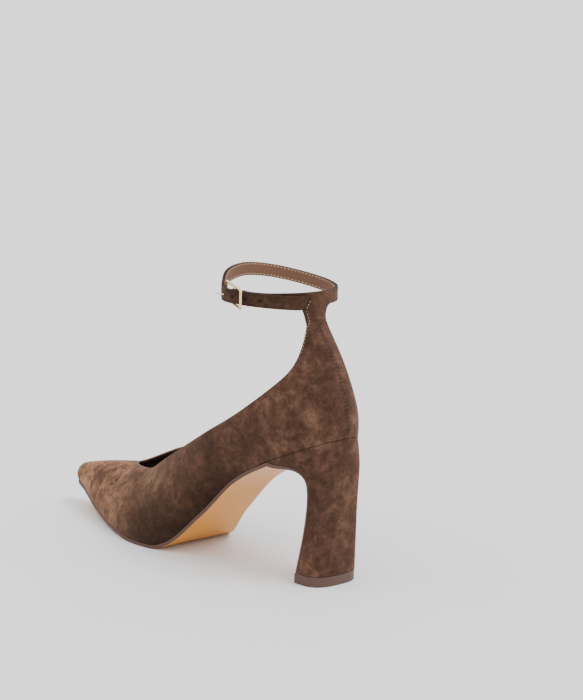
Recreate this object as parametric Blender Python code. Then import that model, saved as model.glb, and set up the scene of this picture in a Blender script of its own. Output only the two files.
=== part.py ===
"""High heel shoe, left foot: a pointed pump with an ankle strap on a flared block heel.

Metres, +Z up, +X to the toe, +Y to the outer (lateral) side of the foot.
The origin is the centre of the top-lift's rest face, on the floor.
"""
import math

import bmesh
import bpy
import numpy as np
from mathutils import Vector

# Driving sizes of the last
LENGTH = 0.2490            # heel's back to the tip of the toe
BALL_WIDTH = 0.0695        # feather edge to feather edge across the ball
SEAT_HEIGHT = 0.0817       # feather edge at the heel's back above that at the tread
TOE_SPRING = 0.0138        # rise of the feather edge from the tread to the tip
INSTEP_HEIGHT = 0.0500     # topline above the sole where the foot bends

# Upper
WALL = 0.0018              # outer leather and lining together
NECK_WIDTH = 0.0145        # narrowest width of the strip that rises from the counter
NECK_SIDE = 0.0006         # its middle from the back seam, to the lateral side
NECK_HEIGHT = 0.0726       # narrowest place of that strip above the seat
NECK_LEAN = 0.0016         # how far the neck leans back below the strap
FILLET_LATERAL = 0.0042    # corners between neck and strap
FILLET_MEDIAL = 0.0068

# Ankle strap
ANKLE_DEPTH = 0.0600
ANKLE_WIDTH = 0.0736
ANKLE_ROUNDNESS = 1.8      # exponent of the loop's oval, 2 is an ellipse
STRAP_WIDTH = 0.0075
STRAP_HEIGHT = 0.0816      # lower edge at the back above the seat
STRAP_RISE = 0.0104        # how much higher the front is than the back
STRAP_DIP = 0.0148         # how far both sides hang below a straight rise
STRAP_SAG = 0.0021         # how much lower the buckle hangs
SAG_ALONG = 0.0640         # its lowest place, along the loop from the back seam
SAG_REACH = 0.0190
TAIL_END = 0.0082          # distance of the tail's slanted end from the back seam
TAIL_SLANT = 0.0042        # how much longer its lower corner is than its upper
SLANT_REACH = 0.0120       # length over which the slant grows
TAIL_STEP = 0.0012         # the tail stands out this far, and as far again over the neck
TAIL_DROP = 0.0016         # the tail's end hangs lower than the strap
DROP_START = 0.0400        # where it begins to sink, from the back seam
DROP_REACH = 0.0300        # length over which it sinks
STEP_REACH = 0.0140        # length over which a layer steps out over another
TAIL_OVER_NECK = 0.0260    # the tail steps out over the neck from here
TAB_UNDER = 0.0080         # the short end steps in under the tail from here
STEP_BEFORE_BUCKLE = 0.0055
ELASTIC_REACH = 0.0046     # from the short end to the hinge bar
ELASTIC_OVERLAP = 0.0070   # elastic along the short end's inside
HOLE_DIAMETER = 0.0020
HOLE_PITCH = 0.0080
HOLE_COUNT = 5
FIRST_HOLE = 0.0339        # first hole's distance from the back seam

# Buckle
BUCKLE_BACK = 0.0440       # free bar, along the loop from the back seam
BUCKLE_LENGTH = 0.0230     # free bar to front bar, along the loop
HINGE_ALONG = 0.0555       # hinge bar between them, from the back seam
BUCKLE_WIRE = 0.0016
BUCKLE_CORNER = 0.0014     # radius of the frame's bends
BUCKLE_ROOM = 0.0006       # between its sides and the strap's edges, which curve
BUCKLE_DROP = 0.0006       # how much lower than the strap's middle it hangs
PRONG_WIRE = 0.0010
PRONG_AHEAD = 0.0026       # tip of the prong beyond its hole, along the strap
PRONG_OUT = 0.0030         # and away from it
PRONG_LIFT = 0.0006        # how much its tip rises over that length
ELASTIC_WIDTH = 0.0024
ELASTIC_THICKNESS = 0.0008

# Bottom
SOLE_THICKNESS = 0.0021
FLAP_THICKNESS = 0.0011    # the sole where it runs down the front of the heel
FLAP_TAPER = 0.45          # share of the heel's front over which it thins to that
INSOLE_THICKNESS = 0.0016
LIFT_HEIGHT = 0.0057
LIFT_DEPTH = 0.0184
LIFT_WIDTH = 0.0352
LIFT_SIDE = -0.0008        # its middle from the last's centre line
LIFT_STRAIGHT = 0.38       # share of its depth with straight sides
LIFT_ROUNDNESS = 2.6       # exponent of its rounded back, 2 is an ellipse
LIFT_INSET = 0.0042        # heel's back on the floor ahead of the last's back

# Clearances
GAP = 0.0003               # between pieces that touch
LAYER_GAP = 0.0006         # between the strap's tail and the strap under it
SEAM_ROOM = 0.0002         # more room round the insole, whose edge has wider facets

HEEL_BACK = -(LIFT_INSET + LIFT_DEPTH / 2)
TREAD_HEIGHT = SOLE_THICKNESS + GAP

# The feather edge seen from the side: station and height, as shares of LENGTH and SEAT_HEIGHT
SHANK_PROFILE = (
    (0.000, 1.000), (0.096, 0.876), (0.192, 0.752), (0.288, 0.590),
    (0.384, 0.296), (0.478, 0.038), (0.516, 0.000),
)
# and from the tread to the tip, as shares of LENGTH and TOE_SPRING
TOE_PROFILE = (
    (0.602, 0.000), (0.640, 0.035), (0.748, 0.190), (0.920, 0.680), (1.000, 1.000),
)

# Sections of the feather edge from the tip (0) to the heel's back (16).
# station: share of LENGTH. lateral, medial: side of the centre line, shares of BALL_WIDTH.
# low_out, high_out: bulge of the wall near the sole and near its top, shares of BALL_WIDTH.
# low_up, high_down: how far these bulges reach, shares of the wall's rise.
# turn: degrees from straight ahead in which the upper bulge points.
FEATHER_SECTIONS = (
    # station, lateral, medial, low_out, low_up, high_out, high_down, turn
    (0.9940, -0.078, -0.078, 0.036, 0.33, 0.080, 0.00, 0),
    (0.9780, -0.022, -0.136, 0.045, 0.33, 0.080, 0.01, 48),
    (0.9360, 0.030, -0.181, 0.036, 0.37, 0.100, 0.02, 80),
    (0.8670, 0.143, -0.259, 0.036, 0.37, 0.155, 0.03, 87),
    (0.7790, 0.277, -0.360, 0.043, 0.36, 0.200, 0.05, 76),
    (0.6910, 0.398, -0.449, 0.050, 0.37, 0.230, 0.10, 50),
    (0.5940, 0.492, -0.501, 0.057, 0.35, 0.170, 0.19, 72),
    (0.5100, 0.482, -0.390, 0.057, 0.32, 0.115, 0.26, 90),
    (0.4180, 0.386, -0.216, 0.070, 0.30, 0.080, 0.30, 90),
    (0.3210, 0.302, -0.199, 0.085, 0.33, 0.036, 0.36, 90),
    (0.2410, 0.290, -0.259, 0.085, 0.33, 0.014, 0.36, 90),
    (0.1690, 0.314, -0.331, 0.078, 0.33, 0.012, 0.36, 90),
    (0.1000, 0.318, -0.330, 0.064, 0.35, 0.026, 0.35, 97),
    (0.0440, 0.258, -0.254, 0.045, 0.43, 0.048, 0.31, 115),
    (0.0230, 0.200, -0.194, 0.031, 0.48, 0.064, 0.23, 135),
    (0.0104, 0.134, -0.128, 0.020, 0.50, 0.074, 0.20, 155),
    (0.0000, 0.000, 0.000, 0.014, 0.54, 0.077, 0.20, 180),
)
HEEL_ROW = len(FEATHER_SECTIONS) - 1
THROAT_ROW = 5
NECK_ROW = HEEL_ROW - 1
WING_ROW = 11

# The wall's upper edge for the same sections: the vamp's ridge up to THROAT_ROW, then the
# topline, which the neck ends. Stations and sides as above, heights as shares of INSTEP_HEIGHT.
TOP_SECTIONS = (
    # lateral station, side, height, medial station, side, height
    (0.966, -0.081, 0.242, 0.966, -0.081, 0.242),
    (0.952, -0.081, 0.282, 0.952, -0.081, 0.282),
    (0.924, -0.083, 0.347, 0.924, -0.083, 0.347),
    (0.871, -0.086, 0.450, 0.871, -0.086, 0.450),
    (0.815, -0.086, 0.545, 0.815, -0.086, 0.545),
    (0.747, -0.086, 0.644, 0.747, -0.086, 0.644),
    (0.647, 0.137, 0.728, 0.687, -0.345, 0.840),
    (0.554, 0.256, 0.928, 0.586, -0.403, 1.010),
    (0.430, 0.367, 1.006, 0.442, -0.410, 1.100),
    (0.337, 0.412, 0.780, 0.341, -0.410, 0.890),
    (0.265, 0.423, 0.672, 0.265, -0.410, 0.820),
    (0.195, 0.420, 0.712, 0.193, -0.403, 0.850),
    (0.1325, 0.386, 0.812, 0.1305, -0.366, 0.926),
    (0.0976, 0.299, 0.958, 0.1000, -0.262, 1.018),
    (0.0952, 0.193, 1.192, 0.0985, -0.150, 1.210),
)

# Rings of the heel from the top-lift (first) to the seat. Stations as shares of LENGTH, heights
# above the lift as shares of SEAT_HEIGHT, half width as a share of LIFT_WIDTH, and how far the
# ring has changed from the lift's outline to the seat's.
HEEL_RINGS = (
    # front station, front height, back station, back height, half width, blend
    (0.0827, 0.000, 0.0169, 0.000, 0.497, 0.00),
    (0.0771, 0.098, 0.0153, 0.098, 0.481, 0.00),
    (0.0683, 0.257, 0.0129, 0.257, 0.456, 0.00),
    (0.0602, 0.441, 0.0112, 0.441, 0.436, 0.05),
    (0.0562, 0.575, 0.0104, 0.588, 0.436, 0.15),
    (0.0586, 0.659, 0.0096, 0.685, 0.445, 0.30),
    (0.0703, 0.708, 0.0082, 0.759, 0.462, 0.47),
    (0.0904, 0.733, 0.0070, 0.820, 0.478, 0.64),
    (0.1165, 0.737, 0.0050, 0.875, 0.510, 0.80),
    (0.1446, 0.733, 0.0026, 0.920, 0.560, 0.93),
)

# Fineness of the meshes
COLUMN_STEPS = 3           # columns between two sections
WALL_ROWS = 9
MITRE_LIMIT = 1.15         # how much longer than the wall a sharp corner may reach
NECK_STEPS = 3
NECK_RISE_STEPS = 4
TAB_STEPS = 8
STRAP_STEPS = 43
RING_STEPS = 2
HEEL_SIDE_STEPS = 12
LIFT_SIDE_SHARE = 0.30     # share of an outline's points on its straight side
SOLE_ACROSS = 4
SOLE_FIRST_ROW = 0.12       # the sole's blunt tip, as a section number


def spline_slopes(values, start=None, end=None):
    """Slopes of the cubic spline through evenly spaced rows; an open end is free."""
    rows = np.asarray(values, float)
    count = len(rows)
    matrix = np.zeros((count, count))
    right = np.zeros(rows.shape)
    for i in range(1, count - 1):
        matrix[i, i - 1:i + 2] = (1, 4, 1)
        right[i] = 3 * (rows[i + 1] - rows[i - 1])
    matrix[0, :2] = (2, 1) if start is None else (1, 0)
    right[0] = 3 * (rows[1] - rows[0]) if start is None else start
    matrix[-1, -2:] = (1, 2) if end is None else (0, 1)
    right[-1] = 3 * (rows[-1] - rows[-2]) if end is None else end
    return np.linalg.solve(matrix, right)


def spline_at(values, slopes, place):
    """Point of the spline at a row number that need not be whole."""
    i = min(max(int(place), 0), len(values) - 2)
    t = place - i
    a, b = np.asarray(values[i], float), np.asarray(values[i + 1], float)
    return ((1 + 2 * t) * (1 - t) ** 2 * a + t * (1 - t) ** 2 * slopes[i]
            + t * t * (3 - 2 * t) * b - t * t * (1 - t) * slopes[i + 1])


def smooth(share):
    """Ease from 0 to 1."""
    t = min(max(share, 0.0), 1.0)
    return t * t * (3 - 2 * t)


class MonotoneCurve:
    """Curve through (x, y) rows that never overshoots them."""

    def __init__(self, rows):
        self.x, self.y = np.array(rows, float).T
        step = np.diff(self.x)
        rise = np.diff(self.y) / step
        slope = np.zeros(len(self.x))
        slope[0], slope[-1] = rise[0], rise[-1]
        for i in range(1, len(rise)):
            if rise[i - 1] * rise[i] > 0:
                before, after = 2 * step[i] + step[i - 1], step[i] + 2 * step[i - 1]
                slope[i] = (before + after) / (before / rise[i - 1] + after / rise[i])
        self.slope = slope

    def at(self, x):
        i = int(np.clip(np.searchsorted(self.x, x) - 1, 0, len(self.x) - 2))
        step = self.x[i + 1] - self.x[i]
        t = (x - self.x[i]) / step
        if t < 0 or t > 1:
            edge = 0 if t < 0 else -1
            return self.y[edge] + self.slope[edge] * (x - self.x[edge])
        return ((1 + 2 * t) * (1 - t) ** 2 * self.y[i] + t * (1 - t) ** 2 * step * self.slope[i]
                + t * t * (3 - 2 * t) * self.y[i + 1] - t * t * (1 - t) * step * self.slope[i + 1])


BOTTOM_CURVE = MonotoneCurve(
    [(HEEL_BACK + LENGTH * x, TREAD_HEIGHT + SEAT_HEIGHT * z) for x, z in SHANK_PROFILE]
    + [(HEEL_BACK + LENGTH * x, TREAD_HEIGHT + TOE_SPRING * z) for x, z in TOE_PROFILE])


def bottom_height(x):
    """Height of the last's bottom, which is ruled across the shoe."""
    return BOTTOM_CURVE.at(x)


def whole_loop(column_lateral, column_medial):
    """Rows round the feather loop: tip, lateral side, heel's back, medial side, tip, and two more."""
    lateral = [np.array(row, float) for row in column_lateral]
    medial = [np.array(row, float) for row in column_medial]
    loop = lateral + medial[-2:0:-1]
    return loop[-3:] + loop + loop[:4]


FEATHER_LOOP = whole_loop(
    [(r[0] * LENGTH, r[1] * BALL_WIDTH) for r in FEATHER_SECTIONS],
    [(r[0] * LENGTH, r[2] * BALL_WIDTH) for r in FEATHER_SECTIONS])
FEATHER_SLOPES = spline_slopes(FEATHER_LOOP)
BULGES = [np.array([r[3] * BALL_WIDTH, r[4], r[5] * BALL_WIDTH, r[6], math.radians(r[7])])
          for r in FEATHER_SECTIONS]
BULGE_SLOPES = spline_slopes(BULGES)


def feather_plan(row, side):
    """Feather edge from above at a section number, side +1 lateral or -1 medial, and its normal."""
    rounds = 2 * HEEL_ROW
    place = 3 + (row if side > 0 else rounds - row)
    point = spline_at(FEATHER_LOOP, FEATHER_SLOPES, place)
    ahead = spline_at(FEATHER_LOOP, FEATHER_SLOPES, place + 0.01)
    behind = spline_at(FEATHER_LOOP, FEATHER_SLOPES, place - 0.01)
    along = (ahead - behind) / np.linalg.norm(ahead - behind)
    normal = np.array([along[1], -along[0]])
    return point + (HEEL_BACK, 0), normal


def feather_point(row, side):
    plan, _ = feather_plan(row, side)
    return np.array([plan[0], plan[1], bottom_height(plan[0])])


# Ankle loop seen from above, by distance along it from the back seam, lateral side positive
LOOP_BACK = HEEL_BACK + 0.107 * LENGTH
LOOP_POINTS = 1440


def ankle_oval():
    turn = np.linspace(math.pi, -math.pi, LOOP_POINTS + 1)
    cosine, sine = np.cos(turn), np.sin(turn)
    power = 2 / ANKLE_ROUNDNESS
    x = LOOP_BACK + ANKLE_DEPTH / 2 * (1 + np.sign(cosine) * abs(cosine) ** power)
    y = ANKLE_WIDTH / 2 * np.sign(sine) * abs(sine) ** power
    along = np.concatenate([[0], np.cumsum(np.hypot(np.diff(x), np.diff(y)))])
    return x, y, along


OVAL_X, OVAL_Y, OVAL_ALONG = ankle_oval()
LOOP_LENGTH = OVAL_ALONG[-1]


def loop_plan(along, outward=0.0):
    """Point of the ankle loop and its outward normal."""
    def bare(a):
        a = a % LOOP_LENGTH
        return np.array([np.interp(a, OVAL_ALONG, OVAL_X), np.interp(a, OVAL_ALONG, OVAL_Y)])
    step = 0.0015
    forward = bare(along + step) - bare(along - step)
    forward /= np.linalg.norm(forward)
    normal = np.array([-forward[1], forward[0]])
    return bare(along) + normal * outward, normal


def strap_low(along):
    """Height of the strap's lower edge."""
    x = loop_plan(along)[0][0]
    share = (x - LOOP_BACK) / ANKLE_DEPTH
    seat = bottom_height(LOOP_BACK)
    sag = STRAP_SAG * smooth(1 - abs(along % LOOP_LENGTH - SAG_ALONG) / SAG_REACH)
    return seat + STRAP_HEIGHT + STRAP_RISE * share - STRAP_DIP * share * (1 - share) - sag


def strap_point(along, share, outward=0.0, drop=0.0):
    """Point on the strap's outer face; share is 0 at its lower edge and 1 at its upper."""
    plan, _ = loop_plan(along, outward)
    return np.array([plan[0], plan[1], strap_low(along) + share * STRAP_WIDTH - drop])


def neck_along(across, share):
    """Place along the loop of a point across the neck, medial (-1) to lateral (1) edge."""
    fillet = FILLET_LATERAL if across > 0 else FILLET_MEDIAL
    return NECK_SIDE + across * (NECK_WIDTH / 2 + fillet * (1 - math.sqrt(1 - share ** 2)))


def neck_point(across, share):
    """Neck from its narrowest place (share 0) to the strap's lower edge (1)."""
    along = neck_along(across, share)
    plan, _ = loop_plan(along)
    waist = bottom_height(LOOP_BACK) + NECK_HEIGHT
    height = waist + (strap_low(along) - waist) * share
    return np.array([plan[0] - NECK_LEAN * (1 - share) ** 2, plan[1], height])


def top_row(side):
    """Upper ends of the wall's sections on one side."""
    first = 0 if side > 0 else 3
    rows = []
    for row in TOP_SECTIONS:
        x = HEEL_BACK + row[first] * LENGTH
        rows.append(np.array([x, row[first + 1] * BALL_WIDTH,
                              bottom_height(x) + row[first + 2] * INSTEP_HEIGHT]))
    rows.append(neck_point(side, 0))
    return rows


RIDGE = top_row(1)[:THROAT_ROW + 1]
RIDGE_SLOPES = spline_slopes(RIDGE)
TOPLINES = {side: top_row(side)[THROAT_ROW:] for side in (1, -1)}
THROAT_SPREAD = 0.30       # how square the throat's front is, as a share of BALL_WIDTH
TOPLINE_SLOPES = {
    side: spline_slopes(TOPLINES[side], start=np.array([0, side * THROAT_SPREAD * BALL_WIDTH, 0]))
    for side in (1, -1)}


def top_point(row, side):
    """Upper end of the wall at a section number."""
    if row <= THROAT_ROW:
        return spline_at(RIDGE, RIDGE_SLOPES, row)
    if row >= NECK_ROW:
        return neck_point(side * (HEEL_ROW - row), 0)
    return spline_at(TOPLINES[side], TOPLINE_SLOPES[side], row - THROAT_ROW)


def wall_point(row, side, share):
    """Point of the upper's outer face: share 0 at the feather edge, 1 at the top."""
    plan, normal = feather_plan(row, side)
    foot = np.array([plan[0], plan[1], bottom_height(plan[0])])
    top = top_point(row, side)
    low_out, low_up, high_out, high_down, turn = spline_at(BULGES, BULGE_SLOPES, row)
    rise = top[2] - foot[2]
    low = foot + (normal[0] * low_out, normal[1] * low_out, low_up * rise)
    high = top + (math.cos(turn) * high_out, side * math.sin(turn) * high_out, -high_down * rise)
    t = share
    return ((1 - t) ** 3 * foot + 3 * t * (1 - t) ** 2 * low
            + 3 * t * t * (1 - t) * high + t ** 3 * top)


def add_grid(bm, rows):
    """Quads between rows of points."""
    verts = [[bm.verts.new(point) for point in row] for row in rows]
    for low, high in zip(verts, verts[1:]):
        for i in range(len(low) - 1):
            bm.faces.new((low[i], low[i + 1], high[i + 1], high[i]))


def weld(bm):
    """Join the grids' shared edges and make the faces agree."""
    bmesh.ops.remove_doubles(bm, verts=bm.verts, dist=0.00002)
    bmesh.ops.dissolve_degenerate(bm, edges=bm.edges, dist=0.00001)
    bmesh.ops.recalc_face_normals(bm, faces=bm.faces)


def thicken(bm, wall, probe, outward):
    """Make an open surface a closed wall on the side away from outward at the probe point;
    the feather edge stays on the bottom."""
    bm.normal_update()
    nearest = min(bm.verts, key=lambda v: (v.co - Vector(probe)).length)
    sign = 1 if nearest.normal.dot(Vector(outward)) > 0 else -1
    outer, faces = list(bm.verts), list(bm.faces)
    rim = [e for e in bm.edges if len(e.link_faces) == 1]
    on_rim = {v for e in rim for v in e.verts}
    inner = {}
    for v in outer:
        place = v.co - v.normal * (sign * wall * min(v.calc_shell_factor(), MITRE_LIMIT))
        if v in on_rim and abs(v.co.z - bottom_height(v.co.x)) < 0.00002:
            place.z = bottom_height(place.x)
        inner[v] = bm.verts.new(place)
    rim_pairs = [(e.link_loops[0].vert, e.link_loops[0].link_loop_next.vert) for e in rim]
    for face in faces:
        bm.faces.new([inner[v] for v in reversed(face.verts)])
    for a, b in rim_pairs:
        bm.faces.new((b, a, inner[a], inner[b]))
    bmesh.ops.recalc_face_normals(bm, faces=bm.faces)


def new_material(name, color, roughness, metallic=0.0):
    material = bpy.data.materials.new(name)
    material.use_nodes = True
    shader = material.node_tree.nodes["Principled BSDF"]
    shader.inputs["Base Color"].default_value = (*color, 1.0)
    shader.inputs["Roughness"].default_value = roughness
    shader.inputs["Metallic"].default_value = metallic
    material.diffuse_color = (*color, 1.0)
    return material


def new_object(name, bm, material, collection, sharp_angle=40):
    mesh = bpy.data.meshes.new(name)
    bm.to_mesh(mesh)
    bm.free()
    mesh.shade_smooth()
    mesh.set_sharp_from_angle(angle=math.radians(sharp_angle))
    mesh.materials.append(material)
    piece = bpy.data.objects.new(name, mesh)
    collection.objects.link(piece)
    return piece


def wall_columns():
    """Section numbers of the wall's columns, tip to heel's back; the neck has finer ones."""
    rows = [i / COLUMN_STEPS for i in range(NECK_ROW * COLUMN_STEPS + 1)]
    return rows + [NECK_ROW + (i + 1) / NECK_STEPS for i in range(NECK_STEPS)]


def tail_drop(along):
    """The tail sinks a little towards its end."""
    return TAIL_DROP * smooth((DROP_START - along) / DROP_REACH)


def hole_height(along):
    return strap_low(along) + STRAP_WIDTH / 2 - tail_drop(along)


def tail_outward(along):
    """How far the long strap stands out from the loop as it comes to the buckle and passes it."""
    over_tab = TAIL_STEP * smooth(
        (BUCKLE_BACK + BUCKLE_LENGTH + STEP_BEFORE_BUCKLE - along) / STEP_REACH)
    over_neck = TAIL_STEP * smooth((TAIL_OVER_NECK - along) / STEP_REACH)
    return over_tab + over_neck


TAB_END = HINGE_ALONG - ELASTIC_REACH


def tab_outward(along):
    """The short strap lies inside the tail."""
    return -(WALL + LAYER_GAP - TAIL_STEP) * smooth((along - TAB_UNDER) / STEP_REACH)


def strap_stations():
    """Stations of the whole strip: tab's end, back seam, medial side, front, buckle, tail's end."""
    tail_end = TAIL_END - LOOP_LENGTH
    tab = list(np.linspace(TAB_END, neck_along(1, 1), TAB_STEPS + 1)[:-1])
    neck = [neck_along(1 - i / NECK_STEPS, 1) for i in range(2 * NECK_STEPS + 1)]
    rest = list(np.linspace(neck_along(-1, 1), tail_end, STRAP_STEPS + 1)[1:])
    return tab + neck + rest


def strap_rows():
    """Two edges and the middle of the strap's outer face at each station."""
    rows = []
    for along in strap_stations():
        if along > 0:
            outward, drop, slant = tab_outward(along), 0.0, 0.0
        else:
            around = along + LOOP_LENGTH
            outward = tail_outward(around)
            drop = tail_drop(around)
            slant = TAIL_SLANT * smooth((TAIL_END + SLANT_REACH - around) / SLANT_REACH)
        rows.append([strap_point(along + slant * (0.5 - share), share, outward, drop)
                     for share in (0.0, 0.5, 1.0)])
    return rows


def make_upper(material, collection, cutters):
    """Vamp, quarters, neck and ankle strap: one wall, open below, at the collar and in the loop."""
    bm = bmesh.new()
    for side in (1, -1):
        rows = [[wall_point(row, side, i / WALL_ROWS) for i in range(WALL_ROWS + 1)]
                for row in wall_columns()]
        add_grid(bm, rows)
    across = [-1 + i / NECK_STEPS for i in range(2 * NECK_STEPS + 1)]
    add_grid(bm, [[neck_point(a, math.sin(math.pi / 2 * j / NECK_RISE_STEPS)) for a in across]
                  for j in range(NECK_RISE_STEPS + 1)])
    add_grid(bm, strap_rows())
    weld(bm)
    heel_side = wall_point(HEEL_ROW, 1, 0.3)
    thicken(bm, WALL, heel_side, (-1, 0, 0))
    upper = new_object("upper", bm, material, collection)
    for i in range(HOLE_COUNT):
        cut_hole(upper, FIRST_HOLE + i * HOLE_PITCH, cutters)
    return upper


def cut_hole(upper, along, cutters):
    """A punched hole through the outer layer of the strap."""
    outward = tail_outward(along)
    plan, normal = loop_plan(along, outward - WALL / 2)
    bpy.ops.mesh.primitive_cylinder_add(
        vertices=10, radius=HOLE_DIAMETER / 2, depth=WALL + LAYER_GAP,
        location=(plan[0], plan[1], hole_height(along)),
        rotation=(math.pi / 2, 0, math.atan2(normal[1], normal[0]) - math.pi / 2))
    punch = bpy.context.object
    punch.name = f"punch_{round(along * 1000)}"
    punch.hide_render = True
    punch.display_type = "WIRE"
    for owner in list(punch.users_collection):
        owner.objects.unlink(punch)
    cutters.objects.link(punch)
    cut = upper.modifiers.new(punch.name, "BOOLEAN")
    cut.operation = "DIFFERENCE"
    cut.object = punch


def ribbon(name, edges, down, thickness, material, collection, across=SOLE_ACROSS):
    """A sheet between two edges, thick along the given downward directions."""
    bm = bmesh.new()
    tops, bottoms = [], []
    for (lateral, medial), direction, thick in zip(edges, down, thickness):
        row = [lateral + (medial - lateral) * i / across for i in range(across + 1)]
        tops.append([bm.verts.new(p) for p in row])
        bottoms.append([bm.verts.new(p + direction * thick) for p in row])
    for grid in (tops, bottoms):
        for a, b in zip(grid, grid[1:]):
            for i in range(across):
                bm.faces.new((a[i], a[i + 1], b[i + 1], b[i]))
    for i in (0, across):
        for j in range(len(tops) - 1):
            bm.faces.new((tops[j][i], tops[j + 1][i], bottoms[j + 1][i], bottoms[j][i]))
    for j in (0, -1):
        for i in range(across):
            bm.faces.new((tops[j][i], tops[j][i + 1], bottoms[j][i + 1], bottoms[j][i]))
    bmesh.ops.recalc_face_normals(bm, faces=bm.faces)
    return new_object(name, bm, material, collection)


def profile_down(points):
    """Unit normals below a line of points in the XZ plane that runs from the toe backwards."""
    line = np.array([(p[0], p[2]) for p in points])
    along = np.gradient(line, axis=0)
    along /= np.linalg.norm(along, axis=1)[:, None]
    return [np.array([-a[1], 0, a[0]]) for a in along]


HEEL_BASE = LIFT_HEIGHT + GAP


def heel_ring_row(row):
    """Front, back, half width and blend of one of the heel's rings."""
    front_x, front_z, back_x, back_z, half, blend = row
    return np.array([HEEL_BACK + front_x * LENGTH, HEEL_BASE + front_z * SEAT_HEIGHT,
                     HEEL_BACK + back_x * LENGTH, HEEL_BASE + back_z * SEAT_HEIGHT,
                     half * LIFT_WIDTH, blend])


def heel_rows():
    rows = [heel_ring_row(row) for row in HEEL_RINGS]
    wing, back = feather_point(WING_ROW, 1), feather_point(HEEL_ROW, 1)
    rows.append(np.array([wing[0], wing[2] - GAP, back[0], back[2] - GAP, wing[1], 1.0]))
    return rows


def lift_outline(share):
    """Depth and side of the lift's outline, front corner (0) to the back's centre (1)."""
    if share < LIFT_SIDE_SHARE:
        return 1 - LIFT_STRAIGHT * share / LIFT_SIDE_SHARE, 1.0
    angle = math.pi / 2 * (share - LIFT_SIDE_SHARE) / (1 - LIFT_SIDE_SHARE)
    power = 2 / LIFT_ROUNDNESS
    return (1 - LIFT_STRAIGHT) * (1 - math.sin(angle) ** power), math.cos(angle) ** power


def heel_ring(place, rows, slopes):
    """Points of one ring from the lateral front corner round the back to the medial one."""
    front_x, front_z, back_x, back_z, half, blend = spline_at(rows, slopes, place)
    wing_x = feather_point(WING_ROW, 1)[0]
    seat_back = feather_point(HEEL_ROW, 1)[0]
    points = []
    for side in (1, -1):
        shares = [i / HEEL_SIDE_STEPS for i in range(HEEL_SIDE_STEPS + 1)]
        if side < 0:
            shares = shares[-2::-1]
        for share in shares:
            seat = feather_point(WING_ROW + (HEEL_ROW - WING_ROW) * share, side)
            seat_depth = (seat[0] - seat_back) / (wing_x - seat_back)
            depth, width = lift_outline(share)
            depth += (seat_depth - depth) * blend
            y = (LIFT_SIDE + side * width * half) * (1 - blend) + seat[1] * blend
            points.append(np.array([back_x + (front_x - back_x) * depth, y,
                                    back_z + (front_z - back_z) * depth]))
            if place >= len(rows) - 1:
                points[-1] = seat - (0, 0, GAP)
    return points


def all_heel_rings():
    rows = heel_rows()
    slopes = spline_slopes(rows)
    count = (len(rows) - 1) * RING_STEPS
    return [heel_ring(i / RING_STEPS, rows, slopes) for i in range(count + 1)]


def make_heel(material, collection):
    """Flared block heel whose wings run forward under the seat."""
    bm = bmesh.new()
    rings = [[bm.verts.new(p) for p in ring] for ring in all_heel_rings()]
    count = len(rings[0])
    for low, high in zip(rings, rings[1:]):
        for i in range(count):
            j = (i + 1) % count
            bm.faces.new((low[i], low[j], high[j], high[i]))
    for ring in (rings[0], rings[-1]):
        for i in range(count // 2 - 1):
            bm.faces.new((ring[i], ring[i + 1], ring[count - 2 - i], ring[count - 1 - i]))
        middle = count // 2
        bm.faces.new((ring[middle - 1], ring[middle], ring[middle + 1]))
    bmesh.ops.recalc_face_normals(bm, faces=bm.faces)
    return new_object("heel", bm, material, collection)


def make_top_lift(material, collection):
    """Rubber lift under the heel and the sole's flap, slightly proud in front."""
    bm = bmesh.new()
    outline = []
    for side in (1, -1):
        shares = [i / HEEL_SIDE_STEPS for i in range(HEEL_SIDE_STEPS + 1)]
        if side < 0:
            shares = shares[-2::-1]
        for share in shares:
            depth, width = lift_outline(share)
            outline.append((HEEL_BACK + LIFT_INSET + LIFT_DEPTH * depth,
                            LIFT_SIDE + side * width * LIFT_WIDTH / 2))
    base = [bm.verts.new((x, y, 0)) for x, y in outline]
    face = bm.faces.new(base)
    top = bmesh.ops.extrude_face_region(bm, geom=[face])
    bmesh.ops.translate(bm, vec=(0, 0, LIFT_HEIGHT),
                        verts=[g for g in top["geom"] if isinstance(g, bmesh.types.BMVert)])
    bmesh.ops.recalc_face_normals(bm, faces=bm.faces)
    return new_object("top_lift", bm, material, collection)


def sole_edges():
    """Edges of the outsole's upper face: toe, tread, shank, under the heel's wings, down its front."""
    edges = []
    rows = [SOLE_FIRST_ROW] + [i / COLUMN_STEPS for i in range(1, COLUMN_STEPS * WING_ROW)]
    for row in rows:
        pair = [feather_point(row, side) for side in (1, -1)]
        near_wing = smooth(row - WING_ROW + 1)
        for point in pair:
            point[2] -= GAP * (1 + near_wing)
        edges.append(pair)
    rings = all_heel_rings()[::-1]
    corners = [(ring[0], ring[-1]) for ring in rings]
    line = [0.5 * (a + b) for a, b in corners]
    down = profile_down(line)
    for (lateral, medial), direction in zip(corners, down):
        edges.append([lateral + direction * GAP, medial + direction * GAP])
    return edges


def make_outsole(material, collection):
    """Leather sole from the tip to the top-lift, thinner down the heel's front."""
    edges = sole_edges()
    line = [0.5 * (a + b) for a, b in edges]
    down = profile_down(line)
    rings = len(HEEL_RINGS) * RING_STEPS + 1
    count = len(edges)
    thickness = []
    for i in range(count):
        on_heel = (i - (count - rings)) / (rings * FLAP_TAPER)
        thickness.append(SOLE_THICKNESS + (FLAP_THICKNESS - SOLE_THICKNESS) * smooth(on_heel))
    down[-1] = np.array([1.0, 0, 0])
    return ribbon("outsole", edges, down, thickness, material, collection)


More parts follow.
